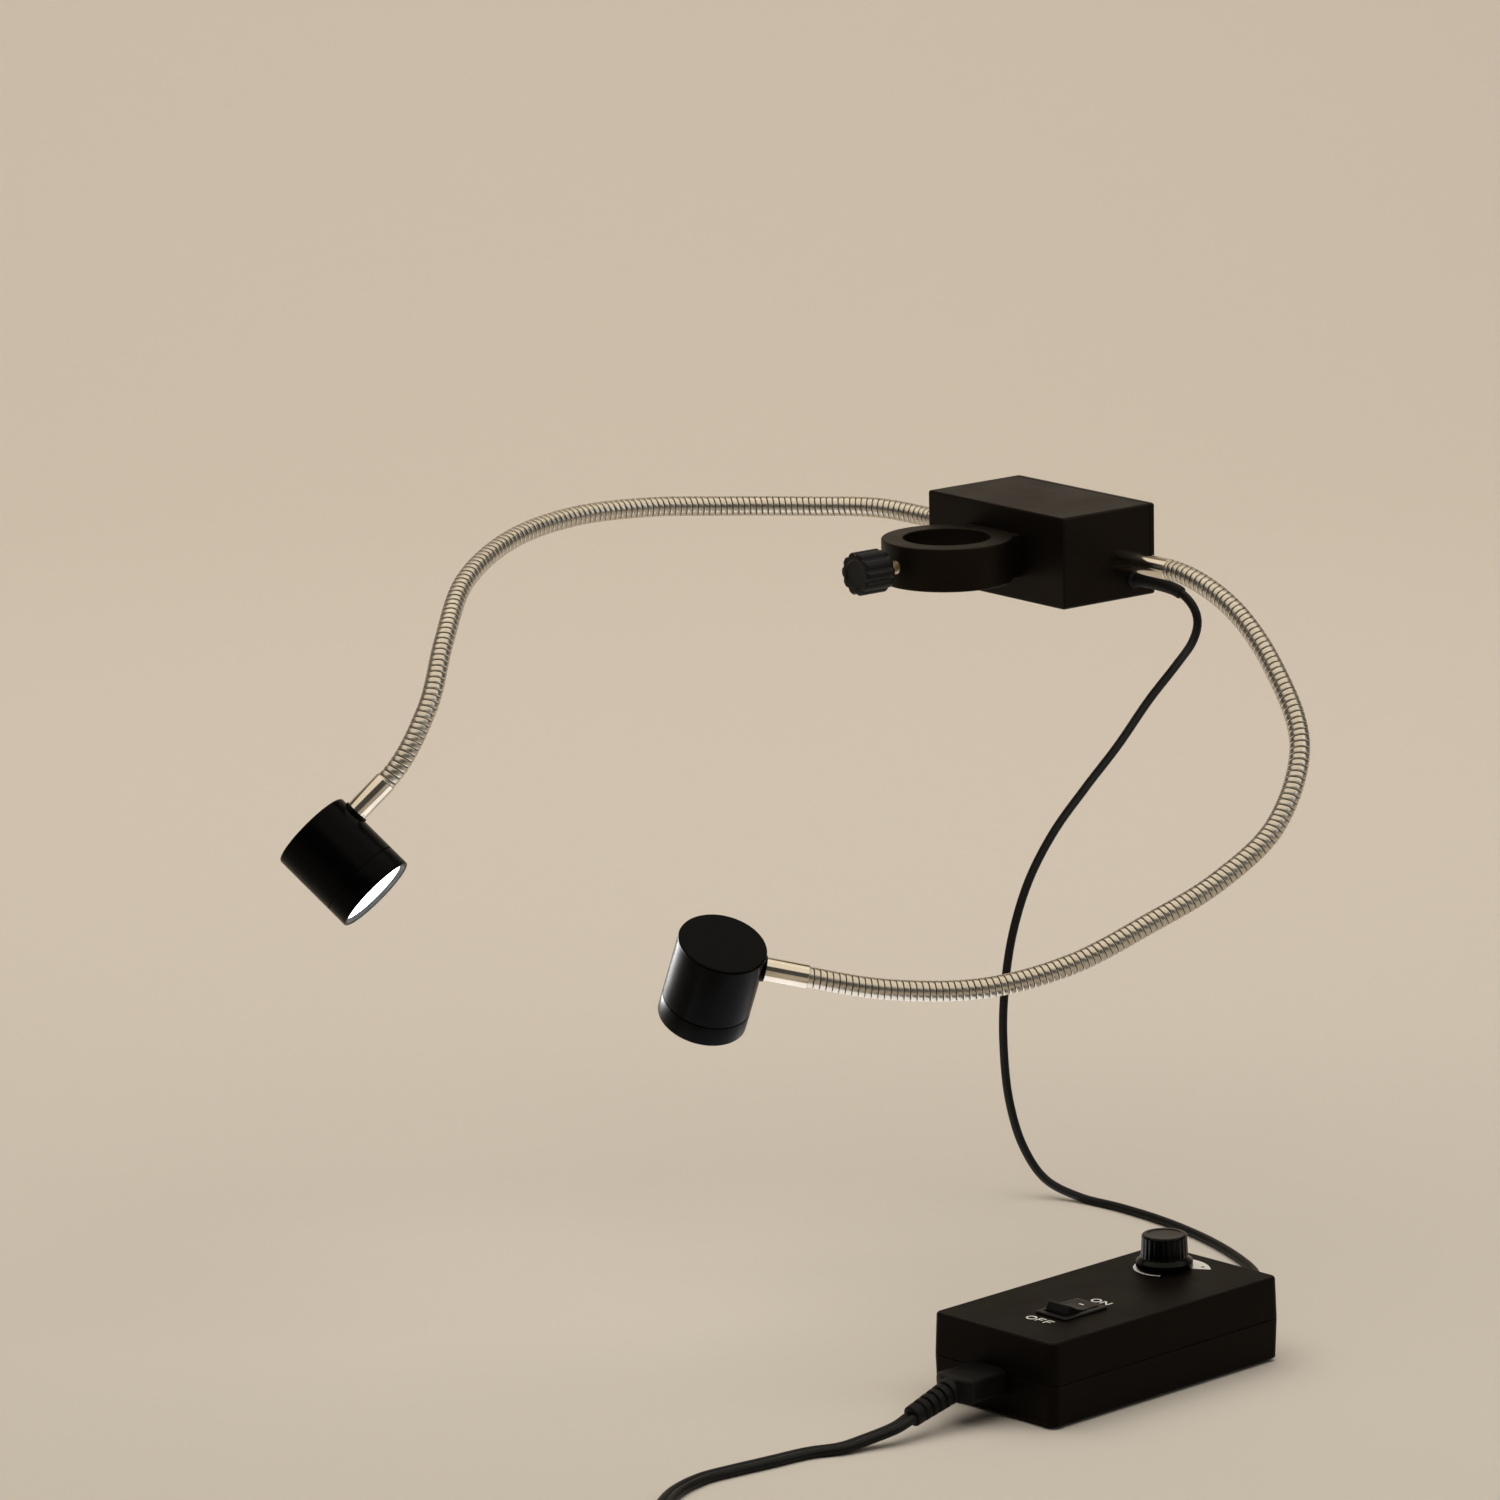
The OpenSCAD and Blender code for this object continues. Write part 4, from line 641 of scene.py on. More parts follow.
def woundTube(path, start, turns, pitch, band, bore, sides, hint=(0.3, 0.5, 0.8)):
    # a band wound on a path: distance along it = pitch x (turn + share of the band + angle / full turn)
    reach, ways = lengthsAlong(path), waysAlong(path)
    normal = carriedSides(ways, np.array(hint))
    share, radius = np.array(band).T
    step = len(share)
    row = np.arange(turns * step + 1)
    angle = np.linspace(0, 2 * np.pi, sides + 1)
    along = start + pitch * ((row // step + share[row % step])[:, None] + angle / (2 * np.pi))
    centre, n, t = (pointsAt(along, reach, line) for line in (path, normal, ways))
    n = unit(n)
    spoke = np.cos(angle)[:, None] * n + np.sin(angle)[:, None] * unit(np.cross(t, n))
    size = radius[row % step]
    points = np.stack([centre + size[:, None, None] * spoke, centre + bore * spoke])
    numbers = np.arange(points[..., 0].size).reshape(points.shape[:3])
    # the end of each turn shares its points with the start of the next
    numbers[:, :-step, -1] = numbers[:, step:, 0]
    used, numbers = np.unique(numbers, return_inverse=True)
    outer, inner = numbers.reshape(points.shape[:3])
    rims = [(outer[0, 1:], outer[0, :-1], inner[0, :-1], inner[0, 1:]),
            (outer[-1, :-1], outer[-1, 1:], inner[-1, 1:], inner[-1, :-1]),
            (outer[:step, 0], outer[1:step + 1, 0], inner[1:step + 1, 0], inner[:step, 0]),
            (outer[-step:, -1], outer[-step - 1:-1, -1], inner[-step - 1:-1, -1], inner[-step:, -1])]
    quads = np.vstack([cells(outer), cells(inner)[:, ::-1]] + [np.stack(rim, -1) for rim in rims])
    depth = np.broadcast_to(((radius.max() - size) / np.ptp(radius))[:, None], outer.shape)
    groove = np.stack([depth, np.ones(outer.shape)]).ravel()[used]
    return (points.reshape(-1, 3)[used], quads, np.zeros((0, 3), int)), groove


def addNeck(side, arm):
    # sections run from middle to middle between hinges, cut at whole turns of one winding along the path
    pitch, inside, sections, half, perSpan = pick(conduit, "pitch inFerrule sections bendHalf perSpan")
    points = np.array(arm["start"]) + np.array(arm["steps"])
    path = hermite(points, arm["first"], arm["entry"], perSpan)
    reach = lengthsAlong(path)
    hinges = reach[::2 * perSpan][:sections]
    middles = (hinges[1:] + hinges[:-1]) / 2
    # the path runs on straight into both ferrules
    shift = 2 * inside
    longer = np.vstack([path[0] - shift * unit(arm["first"]), path,
                        path[-1] + 3 * inside * unit(arm["entry"])])
    stops = np.concatenate([[shift - inside], middles + shift, [reach[-1] + shift + inside - pitch]])
    cuts = np.round(stops / pitch)
    for k in range(sections):
        turns = int(cuts[k + 1] - cuts[k])
        tube, groove = woundTube(longer, cuts[k] * pitch, turns, *pick(conduit, "pitch band bore sides"))
        piece = addPiece(f"{side}Conduit{k + 1}", [tube], "conduit", f"{side}_neck_{k + 1}", None, 60,
                         marks={"groove": groove})
        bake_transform(piece)


for side, arm in arms.items():
    addNeck(side, arm)
print("necks wound")


# Ferrules and lamp heads

ferrule = {"radius": 3.9, "length": 26.5, "bore": 3.76, "inWall": 3.0, "edge": 0.35, "lining": 4.0}
headFerrule = {"radius": 4.2, "length": 17.0, "bore": 3.76, "edge": 0.4, "collar": 4.8, "collarLength": 1.6,
               "collarIn": 0.6, "collarFit": 0.1}
head = {"radius": 16.0, "back": -7.5, "front": 18.5, "bezelFront": 26.5, "backEdge": 0.8, "backFlat": 3.0,
        "wall": 2.5, "seat": 15.2, "grooveWide": 0.45, "grooveDeep": 0.5, "rim": 0.7, "frontEdge": 0.5,
        "softEdge": 0.15, "bevel": 13.9, "bevelDepth": 1.6, "bevelBack": 0.2, "skinGap": 0.12, "skin": 0.1,
        "lensDome": 0.5, "lensDeep": 3.4, "lensSink": 0.05, "lensHub": 0.06, "lensRows": 24, "lensBack": 2,
        "sides": 160}


def addBaseFerrule(side, arm):
    # a tube with a rounded lip, turned about the neck's first direction
    x, y, z = arm["start"]
    r, end, bore, inWall, edge = pick(ferrule, "radius length bore inWall edge")
    seat = seatAlong((x - math.copysign(end, x), y, z), arm["first"], (0, 0, 1))
    tube = [(bore, -inWall), (r, -inWall), (r, end, edge), (bore, end), (bore, end - ferrule["lining"])]
    addTurned(f"{side}BaseFerrule", tube, seat, 64, "nickel", f"{side}_base_ferrule")


def headSeats(arm):
    # the tube's seat at the end of the neck, and the head's beyond it, with its beam square to the tube
    entry = unit(arm["entry"])
    end = np.array(arm["start"]) + np.array(arm["steps"][-1])
    beam = np.array(arm["beam"]) - np.dot(arm["beam"], entry) * entry
    seat = seatAlong(end + entry * (headFerrule["length"] + head["seat"]), beam, -entry)
    return seatAlong(end, entry, seat[1][2]), seat


def addHead(side, arm):
    # each piece is a profile turned about the beam or the tube; the lens is a dome, 1 - share squared
    stem, seat = headSeats(arm)
    body, sides = f"{side}_neck_5", head["sides"]
    r, back, front, tip, bevel = pick(head, "radius back front bezelFront bevel")
    wall, wide, rim, edge, soft, skin = pick(head, "wall grooveWide rim frontEdge softEdge skin")
    inner, step, foot = r - wall, r - head["grooveDeep"], tip - head["bevelDepth"]
    can = [(r - head["backFlat"], back), (r, back, head["backEdge"]), (r, front - wide), (step, front - wide),
           (step, front), (inner, front), (inner, back + wall)]
    addTurned(f"{side}HeadCan", can, seat, sides, "headPaint", f"{side}_head_can", False, body=body,
              crease=50, flat=True)
    behind = bevel - head["bevelBack"]
    bezel = [(behind, front), (r, front, soft), (r, tip, edge), (r - rim - edge, tip, soft), (bevel, foot),
             (behind, foot)]
    addTurned(f"{side}Bezel", bezel, seat, sides, "headPaint", f"{side}_bezel", body=body, crease=50)
    # painted light: a thin skin, paler than the bezel's paint, laid over its inner bevel where the lens
    # lights it
    lip = r - rim - edge - head["skinGap"]
    bore = [(lip, tip - soft), (bevel, foot), (bevel - skin, foot), (lip - skin, tip - soft)]
    addTurned(f"{side}BezelPaintedLight", bore, seat, sides, "bevelLitGrey", body=body)
    share = np.linspace(1, *pick(head, "lensHub lensRows"))
    dome = foot + head["lensDome"] * (1 - share ** 2) - head["lensSink"]
    deep, wide = tip - head["lensDeep"], bevel - skin
    glass = np.vstack([[(head["lensBack"], deep), (wide, deep)], np.stack([wide * share, dome], -1)])
    lens = lathe(glass, seat)
    spread = np.linalg.norm((lens[0] - seat[0]) @ seat[1][:2].T, axis=1) / bevel
    addPiece(f"{side}Lens", [lens], "lens", f"{side}_lens", body, marks={"rim": spread})
    r, end, bore, edge, wide = pick(headFerrule, "radius length bore edge collar")
    tube = [(bore, 0), (r, 0, edge), (r, end), (bore, end)]
    addTurned(f"{side}HeadFerrule", tube, stem, 64, "nickel", f"{side}_head_ferrule", body=body)
    long, sunk, fit = pick(headFerrule, "collarLength collarIn collarFit")
    start, stop, hole = end - long, end + sunk, r - fit
    collar = [(hole, start), (wide, start, edge), (wide, stop), (hole, stop)]
    addTurned(f"{side}HeadCollar", collar, stem, 64, "headPaint", body=body)


for side, arm in arms.items():
    addBaseFerrule(side, arm)
    addHead(side, arm)
print("heads made")


# Clamp and junction box

clamp = {"bore": 16.1, "ring": 24.1, "halfHigh": 8.0, "lug": 15.0, "lugRear": 23.1, "edge": 0.7,
         "boreEdge": 0.5}
stud = {"pitch": 0.8, "from": -16.3, "to": -39.6, "core": 0.6, "sides": 32, "spacing": 0.4,
        # the thread's shape: shares of the pitch and radii
        "thread": [(0.0, 2.05), (0.12, 2.05), (0.44, 2.5), (0.56, 2.5), (0.88, 2.05)]}
handle = {"from": -30.6, "lobes": 10, "columns": 240, "power": 2.5, "deep": 1.1, "dish": 5.2, "full": 8.0,
          # radius, height and rounding, from the screw's hole over the rim into the dish
          "profile": [(2.6, 0.0), (7.2, 0.0, 0.6), (8.0, 1.2, 1.0), (8.0, 13.0, 1.0), (5.5, 13.0, 0.3),
                      (5.0, 12.5, 0.3), (1.0, 12.5)]}


def addClampRing():
    # outline: a circle with a square lug at the back; inset rows round its edges, the bore has its bearings
    ring, lug, rear, top, edge, boreEdge = pick(clamp, "ring lug lugRear halfHigh edge boreEdge")
    reach = math.sqrt(ring ** 2 - lug ** 2)
    start = math.atan2(reach, lug)
    circle = onCircle(ring, np.linspace(-np.pi - start, start, 181)[1:-1])
    side = np.linspace((lug, reach), (lug, rear), 6)
    back = np.linspace((lug, rear), (-lug, rear), 25)[1:-1]
    outline = np.vstack([circle, side, back, (side * (-1, 1))[::-1]])
    outer = roundedLine([(0, 0), (0, top, edge), (2 * edge, top)], 5)[:-1]
    outer = np.vstack([outer[::-1] * (1, -1), outer])
    inner = roundedLine([(2 * boreEdge, top), (0, top, boreEdge), (0, 0)], 4)[1:]
    inner = np.vstack([inner, inner[::-1] * (1, -1)])
    bearing = np.arctan2(outline[:, 1], outline[:, 0])
    flat = np.vstack([outline - outer[:, :1, None] * squareTo(outline),
                      onCircle(clamp["bore"] + inner[:, :1], bearing)])
    rows = raised(flat, np.concatenate([outer[:, 1], inner[:, 1]])[:, None, None])
    addPiece("clampRing", [wrap(rows, True)], "boxPaint", "clamp_ring", flat=True)


def addClampStud():
    # a thread wound on a straight path
    near, far, pitch = pick(stud, "from to pitch")
    path = resample(np.array([[0, near, 0], [0, far, 0]]), stud["spacing"])
    turns = int((near - far) / pitch) - 1
    screw = woundTube(path, 0.0, turns, *pick(stud, "pitch thread core sides"))[0]
    addPiece("clampStud", [screw], "studSteel", "clamp_stud", "clamp_stud", 25)


def addKnob(name, sizes, profile, fade, seat, finishName, stands, body, flat=False):
    # radius = the profile's less a smooth bite at each lobe; fade is the share of the bite in each row
    angle = fullTurn(sizes["columns"])
    bite = (0.5 + 0.5 * np.cos(sizes["lobes"] * angle)) ** sizes["power"] * sizes["deep"]
    radius, height = profile.T[..., None]
    rows = raised(onCircle(radius - bite * fade[:, None], angle), height[..., None])
    addPiece(name, [wrap(carry(rows, seat))], finishName, stands, body, flat=flat)


def addClampKnob():
    # the scallops fade out from the full radius towards the dish
    seat = seatAlong((0, handle["from"], 0), (0, -1, 0), (0, 0, 1))
    profile = roundedLine(handle["profile"])
    dish, full = pick(handle, "dish full")
    fade = np.clip((profile[:, 0] - dish) / (full - dish), 0, 1) ** 2
    addKnob("clampKnob", handle, profile, fade, seat, "switchMoulding", "clamp_knob", "clamp_knob")


junction = {"half": (38.5, 17.0), "front": 23.1, "shellRear": 64.6, "rear": 67.1, "corner": 1.2, "edge": 0.7,
            "wall": 2.5, "seam": 0.25}


def addJunctionBox():
    # lines of (inset, distance) run from the front to the back along y; x stays across and z up
    seat = seatAlong((0, 0, 0), (0, 1, 0), (1, 0, 0))
    edge, wall, seam, front, joint, rear = pick(junction, "edge wall seam front shellRear rear")
    shell = [(2 * edge, front), (0, front, edge), (0, joint - seam), (seam, joint), (wall, joint),
             (wall, front + wall)]
    cover = [(seam, joint), (0, joint + seam), (0, rear, edge), (2 * edge, rear)]
    for name, stands, line in (("boxShell", "box_shell", shell), ("boxCover", "box_cover", cover)):
        steps = insetSteps(roundedLine(line), junction["half"], junction["corner"])
        addBoxed(name, steps, seat, "boxPaint", stands)


bush = {"place": (38.5, 57.1, -10.0), "spacing": 0.5, "skip": 8, "tail": 30.0, "tailStart": 2.5,
        "tailEnd": 2.3, "tipEdge": 0.5, "tipShare": 40, "tailSides": 32,
        # radius, height and rounding of the flange and the neck that goes through the wall
        "profile": [(1.58, -4.0), (2.5, -4.0), (2.5, 0), (3.5, 0, 0.2), (3.5, 0.75, 0.4), (2.75, 1.5, 0.4),
                    (1.58, 1.5, 0.3)]}


def addLeadBush():
    # a flange on the wall, and a soft tail carried along the start of the lead
    seat = seatAlong(bush["place"], (1, 0, 0), (0, 0, 1))
    path = resample(leadPath(), bush["spacing"])
    path = path[lengthsAlong(path) <= bush["tail"]][bush["skip"]:]
    share = np.linspace(0, 1, len(path))[:, None]
    first, last, tipEdge, tip = pick(bush, "tailStart tailEnd tipEdge tipShare")
    size = first + (last - first) * share - tipEdge * np.clip(share * tip - tip + 1, 0, 1) ** 2
    tail = roundTube(path, size, bush["tailSides"], lead["hint"])
    flange = lathe(roundedLine(bush["profile"]), seat, 48, True)
    addPiece("leadBush", [flange, tail], "rubber", "lead_bush")


addClampRing()
addClampStud()
addClampKnob()
addJunctionBox()
addLeadBush()
print("clamp and junction box made")


# Control box

case = {"half": (28.75, 56.0), "floor": 1.0, "seam": 15.5, "top": 30.5, "corner": 3.0, "draft": 0.55,
        "edge": 1.1, "floorEdge": 0.8, "rim": 6, "groove": 0.3, "wall": 2.0, "plate": 2.2}
switch = {"middle": (5.5, -23.2), "half": (7.5, 10.5), "well": (5.5, 8.2), "hole": (6.5, 9.5, 0.8),
          "rim": 1.0, "rimWide": 1.2, "depth": 6.0, "corner": 1.2, "wellCorner": 0.7, "edge": 0.5,
          "lipEdge": 0.25, "gap": 0.1}
rocker = {"halfWide": 5.2, "halfTop": 6.9, "rise": 4.0, "waist": 2.0, "tilt": -12.0, "bevel": 0.6,
          "pinDrop": 1.0, "edge": 0.7, "valley": 12.0,
          # below the paddles, one half of the side outline: length, height and rounding
          "side": [(7.8, 0.8, 3), (7.5, -1.5, 1.2)], "belly": (0, -4.2, 5),
          "markY": 4.4, "markHalf": 1.1, "markWide": 0.6, "markThick": 0.06, "markSink": 0.02}
dimmer = {"middle": (-6.65, 35.8), "lobes": 24, "columns": 288, "power": 2, "deep": 0.2, "barrelRows": 16,
          "flutes": (4.2, 12.2), "fade": 0.8,
          # radius, height and rounding, from the hole over skirt and barrel to the dished top
          "profile": [(3.2, 0.8), (10.0, 0.8, 0.25), (10.0, 3.0, 0.6), (8.3, 4.3, 0.8), (8.0, 12.5, 0.9),
                      (6.2, 12.5, 0.2), (5.9, 12.25, 0.2), (1.5, 12.25)]}


def addCase():
    half, corner, draft, groove, wall = pick(case, "half corner draft groove wall")
    seam, top, floor, rim = pick(case, "seam top floor rim")
    # upper shell: up the drafted side, over the top to the switch hole, down through it and back inside
    side = [(groove - draft, seam), (-draft, seam + groove), (0, top, case["edge"]), (rim, top)]
    hole = (*switch["hole"], *switch["middle"])
    under = top - case["plate"]
    steps = insetSteps(roundedLine(side, 7)[:-1], half, corner) + [(top, *hole), (under, *hole)]
    steps += insetSteps([(wall, under), (wall - draft, seam)], half, corner)
    addBoxed("caseTop", steps, control, "caseMoulding", "case_top", True)
    # lower shell: a tray whose side leans in towards the floor
    tray = [(rim, floor), (0, floor, case["floorEdge"]), (-draft, seam - groove), (groove - draft, seam),
            (wall - draft, seam), (wall, floor + case["plate"])]
    steps = insetSteps(roundedLine(tray, 7), half, corner)
    addBoxed("caseBottom", steps, control, "caseMoulding", "case_bottom")


def addSwitch():
    # frame: outside up, over the rim and down into the well, then back under the rim
    top, middle, low = case["top"], switch["middle"], case["top"] - switch["depth"]
    high = top + switch["rim"]
    outer = roundedLine([(0, top), (0, high, switch["edge"]), (switch["rimWide"], high)], 5)
    steps = insetSteps(outer, switch["half"], switch["corner"], middle)
    lip = roundedLine([(-switch["edge"], high), (0, high, switch["lipEdge"]), (0, low)], 4)[1:]
    steps += insetSteps(lip, switch["well"], switch["wellCorner"], middle)
    steps += [(height, *switch["hole"], *middle) for height in (low, top - switch["gap"])]
    addBoxed("switchFrame", steps, control, "switchMoulding", "switch_frame", True)


def rockerSeat():
    tilt = math.radians(rocker["tilt"])
    lean = np.array([[1, 0, 0], [0, math.cos(tilt), math.sin(tilt)], [0, -math.sin(tilt), math.cos(tilt)]])
    return carry([*switch["middle"], case["top"] - rocker["pinDrop"]], control), lean @ control[1]


def addRocker():
    # side outline with two paddles that meet in a shallow valley, carried across with rounded edges
    top, rise, waist, edge, wide, bevel = pick(rocker, "halfTop rise waist edge halfWide bevel")
    far = [(-length, *rest) for length, *rest in rocker["side"][::-1]]
    outline = roundedLine([(-top, rise, edge), (0, waist, rocker["valley"]), (top, rise, edge),
                           *rocker["side"], rocker["belly"], *far], 7, True)
    line = roundedLine([(2 * bevel, wide), (0, wide, bevel), (0, 0)], 5)[1:-1]
    line = np.vstack([line, line[::-1] * (1, -1)])
    rows = raised(outline + line[:, :1, None] * squareTo(outline), line[:, 1:, None])
    # the outline lies in y and z
    rows = np.roll(rows, 1, -1)
    addPiece("rocker", [wrap(carry(rows, rockerSeat()))], "switchMoulding", "rocker", "rocker", flat=True)
    # short white bar on the paddle that is pressed
    half, y = rocker["markHalf"], rocker["markY"]
    mark = stroke(np.array([(-half, y, 0), (half, y, 0)]), rocker["markWide"], rocker["markThick"])
    mark[..., 2] += waist + (rise - waist) / top * mark[..., 1] - rocker["markSink"]
    addPiece("rockerMark", [wrap(carry(mark, rockerSeat()))], "ink", body="rocker")


def addDimmerKnob():
    # the longest rise of the profile is the barrel: it gets more rows, and it alone has flutes
    profile = roundedLine(dimmer["profile"], 7)
    k = np.argmax(np.diff(profile[:, 1]))
    barrel = np.linspace(profile[k], profile[k + 1], dimmer["barrelRows"])
    profile = np.vstack([profile[:k], barrel, profile[k + 2:]])
    (low, high), step, height = dimmer["flutes"], dimmer["fade"], profile[:, 1]
    fade = np.clip((height - low) / step, 0, 1) * np.clip((high - height) / step, 0, 1)
    seat = (carry([*dimmer["middle"], case["top"]], control), control[1])
    addKnob("dimmerKnob", dimmer, profile, fade, seat, "knobMoulding", "dimmer_knob", "dimmer", True)


addCase()
addSwitch()
addRocker()
addDimmerKnob()


# Prints on the control box: a wedge round the dimmer that grows with the light, and the switch's two words

prints = {"lift": 0.02, "thick": 0.05, "inner": 9.3, "thin": 10.35, "wide": 16.2, "from": -55.0,
          "sweep": -269.0, "grow": 1.9, "dotAngle": -313.0, "dotAt": 13.4, "dot": 0.65, "dotProud": 0.03,
          "letter": 3.85, "stroke": 0.62, "gap": 0.42, "wordOn": (5.5, -8.5), "wordOff": (4.9, -38.0)}
inkZ = case["top"] + prints["lift"]


def addDimmerWedge():
    # a band between a fixed inner radius and an outer one that grows as a power of the turn
    share = np.linspace(0, 1, 140)
    angle = np.radians(prints["from"] + prints["sweep"] * share)
    outer = prints["thin"] + (prints["wide"] - prints["thin"]) * share ** prints["grow"]
    low, high = (raised(np.array(dimmer["middle"]) + onCircle(size, angle), inkZ)
                 for size in (prints["inner"], outer))
    up = np.array([0, 0, prints["thick"]])
    rows = np.stack([low, high, high + up, low + up], 1)
    addPiece("dimmerWedge", [wrap(carry(rows, control))], "ink")
    spot = np.array(dimmer["middle"]) + onCircle(prints["dotAt"], math.radians(prints["dotAngle"]))
    seat = (carry([*spot, case["top"]], control), control[1])
    disc = [(prints["dot"], 0.0), (prints["dot"], prints["lift"] + prints["thick"] + prints["dotProud"])]
    addTurned("dimmerDot", disc, seat, 24, "switchMoulding", ring=False)


def letterStrokes(letter):
    # each letter as lines on a grid 1 high; the first value is its width
    bars = {"N": (0.95, [[(0, 0), (0, 1)], [(0, 1), (0.95, 0)], [(0.95, 0), (0.95, 1)]]),
            "F": (0.78, [[(0, 0), (0, 1)], [(-0.1, 1), (0.78, 1)], [(0, 0.52), (0.66, 0.52)]])}
    if letter == "O":
        return 1.05, [onCircle(1, fullTurn(40)) * (0.525, 0.5) + (0.525, 0.5)]
    return bars[letter]


def addWord(name, word):
    # letters side by side about the word's middle, each line drawn as a stroke of ink
    gap, width, thick = pick(prints, "gap stroke thick")
    size = prints["letter"] - width
    letters = [letterStrokes(letter) for letter in word]
    cursor = -(sum(wide for wide, lines in letters) + gap * (len(word) - 1)) / 2
    surfaces = []
    for letter, (wide, lines) in zip(word, letters):
        ring = letter == "O"
        for line in lines:
            spots = raised((np.array(line, float) + (cursor, -0.5)) * size + prints[name], inkZ)
            surfaces.append(wrap(carry(stroke(spots, width, thick, ring), control), ring))
        cursor += wide + gap
    addPiece(name, surfaces, "ink")


addDimmerWedge()
addWord("wordOn", "ON")
addWord("wordOff", "OFF")

sleeve = {"place": (-10.0, 56.0, 10.0),
          # radius, height and rounding, from inside the wall over the flange to the tapered tip
          "profile": [(1.58, -3.5), (2.5, -3.5), (2.5, 0), (3.5, 0, 0.15), (3.5, 1.5, 0.5), (2.55, 1.6, 0.3),
                      (2.2, 12.0, 0.4), (1.58, 12.0, 0.1)]}
sleeveSeat = seatAlong(carry(sleeve["place"], control), control[1][1], (0, 0, 1))
addTurned("leadSleeve", sleeve["profile"], sleeveSeat, 48, "rubber", "lead_sleeve")
print("control box made")


# CAD pieces that keep their own shape

kept = {
    "zinc": "bracket_screws cover_screws case_screws",
    "nickel": "neck_nuts dimmer_nut dimmer_shaft inlet_pins plug_blades",
    "laminate": "terminal_board driver_board",
    "component": "terminal_block board_parts",
    "rubber": "feet",
    "switchMoulding": "mains_inlet",
    "aluminium": "right_heat_sink left_heat_sink dimmer_body",
    "whiteMask": "right_lamp_board left_lamp_board",
    "dome": "right_emitters left_emitters",
}
for finishName, names in kept.items():
    for name in names.split():
        mesh = nodes[name].data
        mesh.materials.clear()
        mesh.materials.append(finish[finishName])
print("kept nodes finished")


# Stage and light: a pale sweep that curves up behind the object, and softboxes

stage = {"colour": "#d4cbbd", "wide": 7000.0, "near": -5000.0, "bend": 1500.0, "curve": 1300.0,
         "high": 4200.0, "patch": 400, "grain": 3, "rough": (0.75, 0.85), "sky": "#e6e4df",
         "skyStrength": 0.1}
objectMiddle = np.array([80.0, -120.0, -110.0])
# places and aims are right, up and towards the camera from the object's middle, in metres
lamps = {
    "topSoftbox": {"place": (-0.2, 2.4, -0.2), "aim": (-0.2, 0.0, -0.4), "size": (4.2, 3.6), "watts": 80.0,
                   "colour": "#fffaf4", "lights": "matt"},
    # what glossy surfaces show: a warm dim ceiling, a strip low on the left behind, and a card near the floor
    "ceilingCard": {"place": (-0.2, 2.4, 0.3), "aim": (-0.2, 0.0, 0.1), "size": (5.6, 4.6), "watts": 88.0,
                    "colour": "#f7ecd9", "lights": "gloss"},
    "rimStrip": {"place": (-0.64, 0.02, -0.4), "aim": (-0.05, 0.0, 0.0), "size": (0.66, 0.3), "watts": 20.0,
                 "colour": "#f9fbfc", "lights": "gloss", "only": ("rightHeadCan", "rightBezel")},
    "floorCard": {"place": (-0.04, -0.13, -0.07), "aim": (-0.04, 1.0, -0.17), "size": (0.26, 0.3),
                  "watts": 0.26, "colour": "#e6edfa", "lights": "gloss"},
    "fillSoftbox": {"place": (1.5, 0.8, 0.4), "aim": (0.0, 0.0, 0.0), "size": (0.7, 1.2), "watts": 1.5,
                    "colour": "#f4f7fa", "spread": 120},
    "wallSoftbox": {"place": (0.0, 2.4, -0.6), "aim": (0.0, 1.1, -2.6), "size": (3.2, 0.8), "watts": 14.0,
                    "colour": "#fff4e6", "spread": 150},
}
plainLamp = {"spread": 180, "lights": "all", "only": ()}


def stagePoint(place):
    right, up, back = cameraAxes(cameraSet)
    level = unit(back * (1, 1, 0))
    return objectMiddle * metre + place[0] * unit(right * (1, 1, 0)) + place[2] * level + (0, 0, place[1])


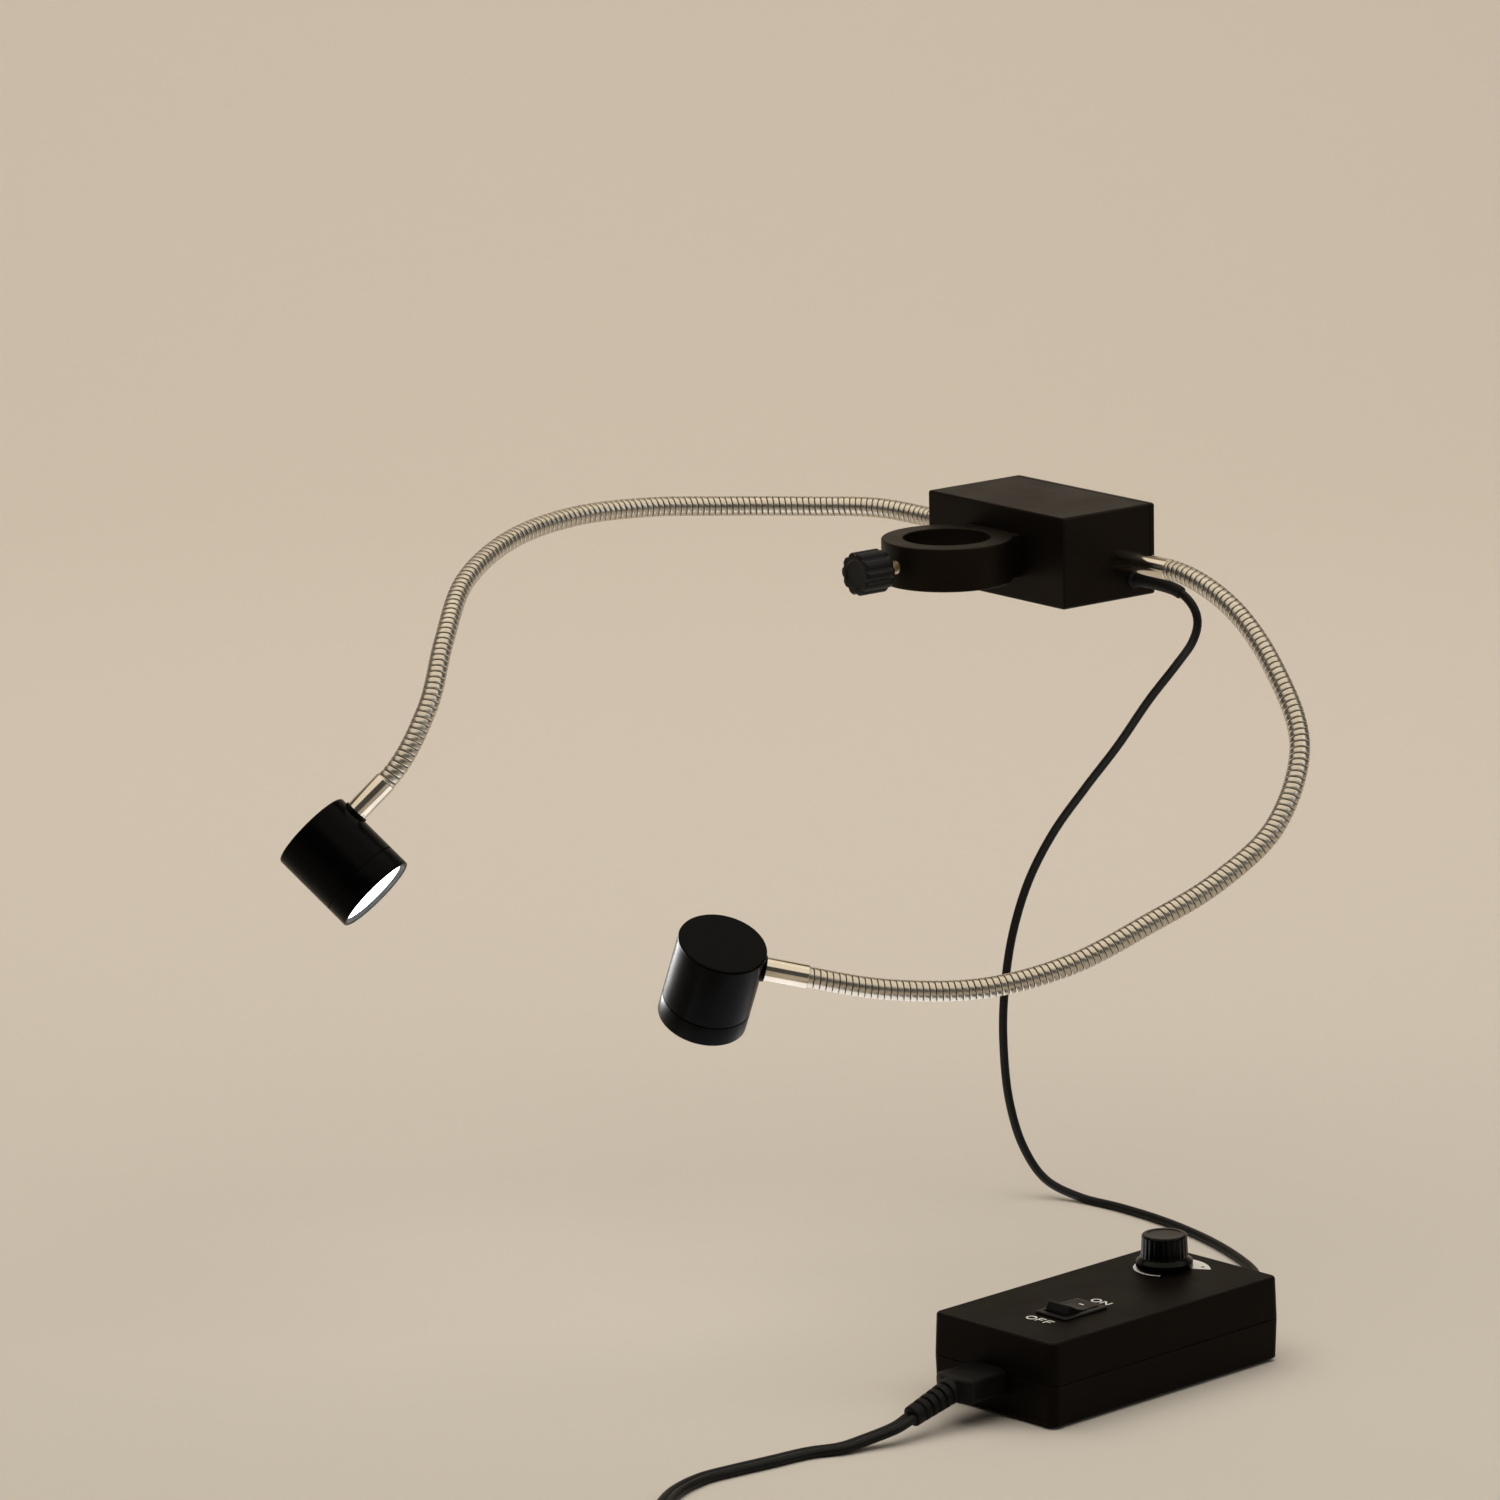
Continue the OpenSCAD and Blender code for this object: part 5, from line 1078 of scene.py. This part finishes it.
def addStage():
    # floor, quarter circle and wall as one profile (distance behind the object, height), carried sideways
    near, wide, curve, high, colour = pick(stage, "near wide curve high colour")
    rear = stage["bend"] + curve
    profile = roundedLine([(near, 0), (rear, 0, curve), (rear, high)], 40) * metre
    base = (tableZ - objectMiddle[2]) * metre
    rows = np.array([[stagePoint((side * metre, base + height, -behind)) for side in (-wide, wide)]
                     for behind, height in profile])
    mesh = bpy.data.meshes.new("sweep")
    faces = cells(np.arange(2 * len(rows)).reshape(-1, 2))
    mesh.from_pydata(rows.reshape(-1, 3).tolist(), [], faces.tolist())
    mesh.shade_smooth()
    # painted board: pale warm beige, quite matt; its back is clear, so a view from behind shows the object
    board = grained("paintedBoardPale", colour, colour, *pick(stage, "patch grain rough"), 0.0, {shine: 0.0})
    tree = board.node_tree
    back = addNode(tree, "NewGeometry", output="Backfacing")
    seen = addNode(tree, "LightPath", output="Is Camera Ray")
    clear = addNode(tree, "Math", [back, seen], operation="MULTIPLY")
    painted = tree.nodes["Principled BSDF"].outputs[0]
    oneSided = addNode(tree, "MixShader", [clear, painted, addNode(tree, "BsdfTransparent")])
    tree.links.new(oneSided, tree.nodes["Material Output"].inputs["Surface"])
    mesh.materials.append(board)
    sweepBoard = bpy.data.objects.new("sweep", mesh)
    scene.collection.objects.link(sweepBoard)
    sky = bpy.data.worlds.new("softRoom")
    scene.world = sky
    sky.use_nodes = True
    tree = sky.node_tree
    tree.nodes.clear()
    light = addNode(tree, "Background", {"Color": linear(stage["sky"]), "Strength": stage["skyStrength"]})
    addNode(tree, "OutputWorld", {"Surface": light})


def addLamp(name, lampSet):
    # an area light; it can be for matt or for glossy surfaces only, and for some pieces only
    spot = stagePoint(lampSet["place"])
    lamp = bpy.data.lights.new(name, "AREA")
    lamp.shape = "RECTANGLE"
    lamp.size, lamp.size_y = lampSet["size"]
    lamp.energy = lampSet["watts"]
    lamp.color = linear(lampSet["colour"])[:3]
    lamp.spread = math.radians(lampSet["spread"])
    x, y, z = seatAlong(spot, spot - stagePoint(lampSet["aim"]), (0.0, 0.0, 1.0))[1]
    holder = bpy.data.objects.new(name, lamp)
    holder.matrix_world = inWorld(spot, [-y, x, z])
    holder.visible_camera = False
    holder.visible_diffuse = lampSet["lights"] != "gloss"
    holder.visible_glossy = lampSet["lights"] != "matt"
    if lampSet["only"]:
        lit = bpy.data.collections.new(name + "Pieces")
        for pieceName in lampSet["only"]:
            lit.objects.link(scene.objects[pieceName])
        holder.light_linking.receiver_collection = lit
    scene.collection.objects.link(holder)


addStage()
for name, lampSet in lamps.items():
    addLamp(name, {**plainLamp, **lampSet})
print("stage lit")
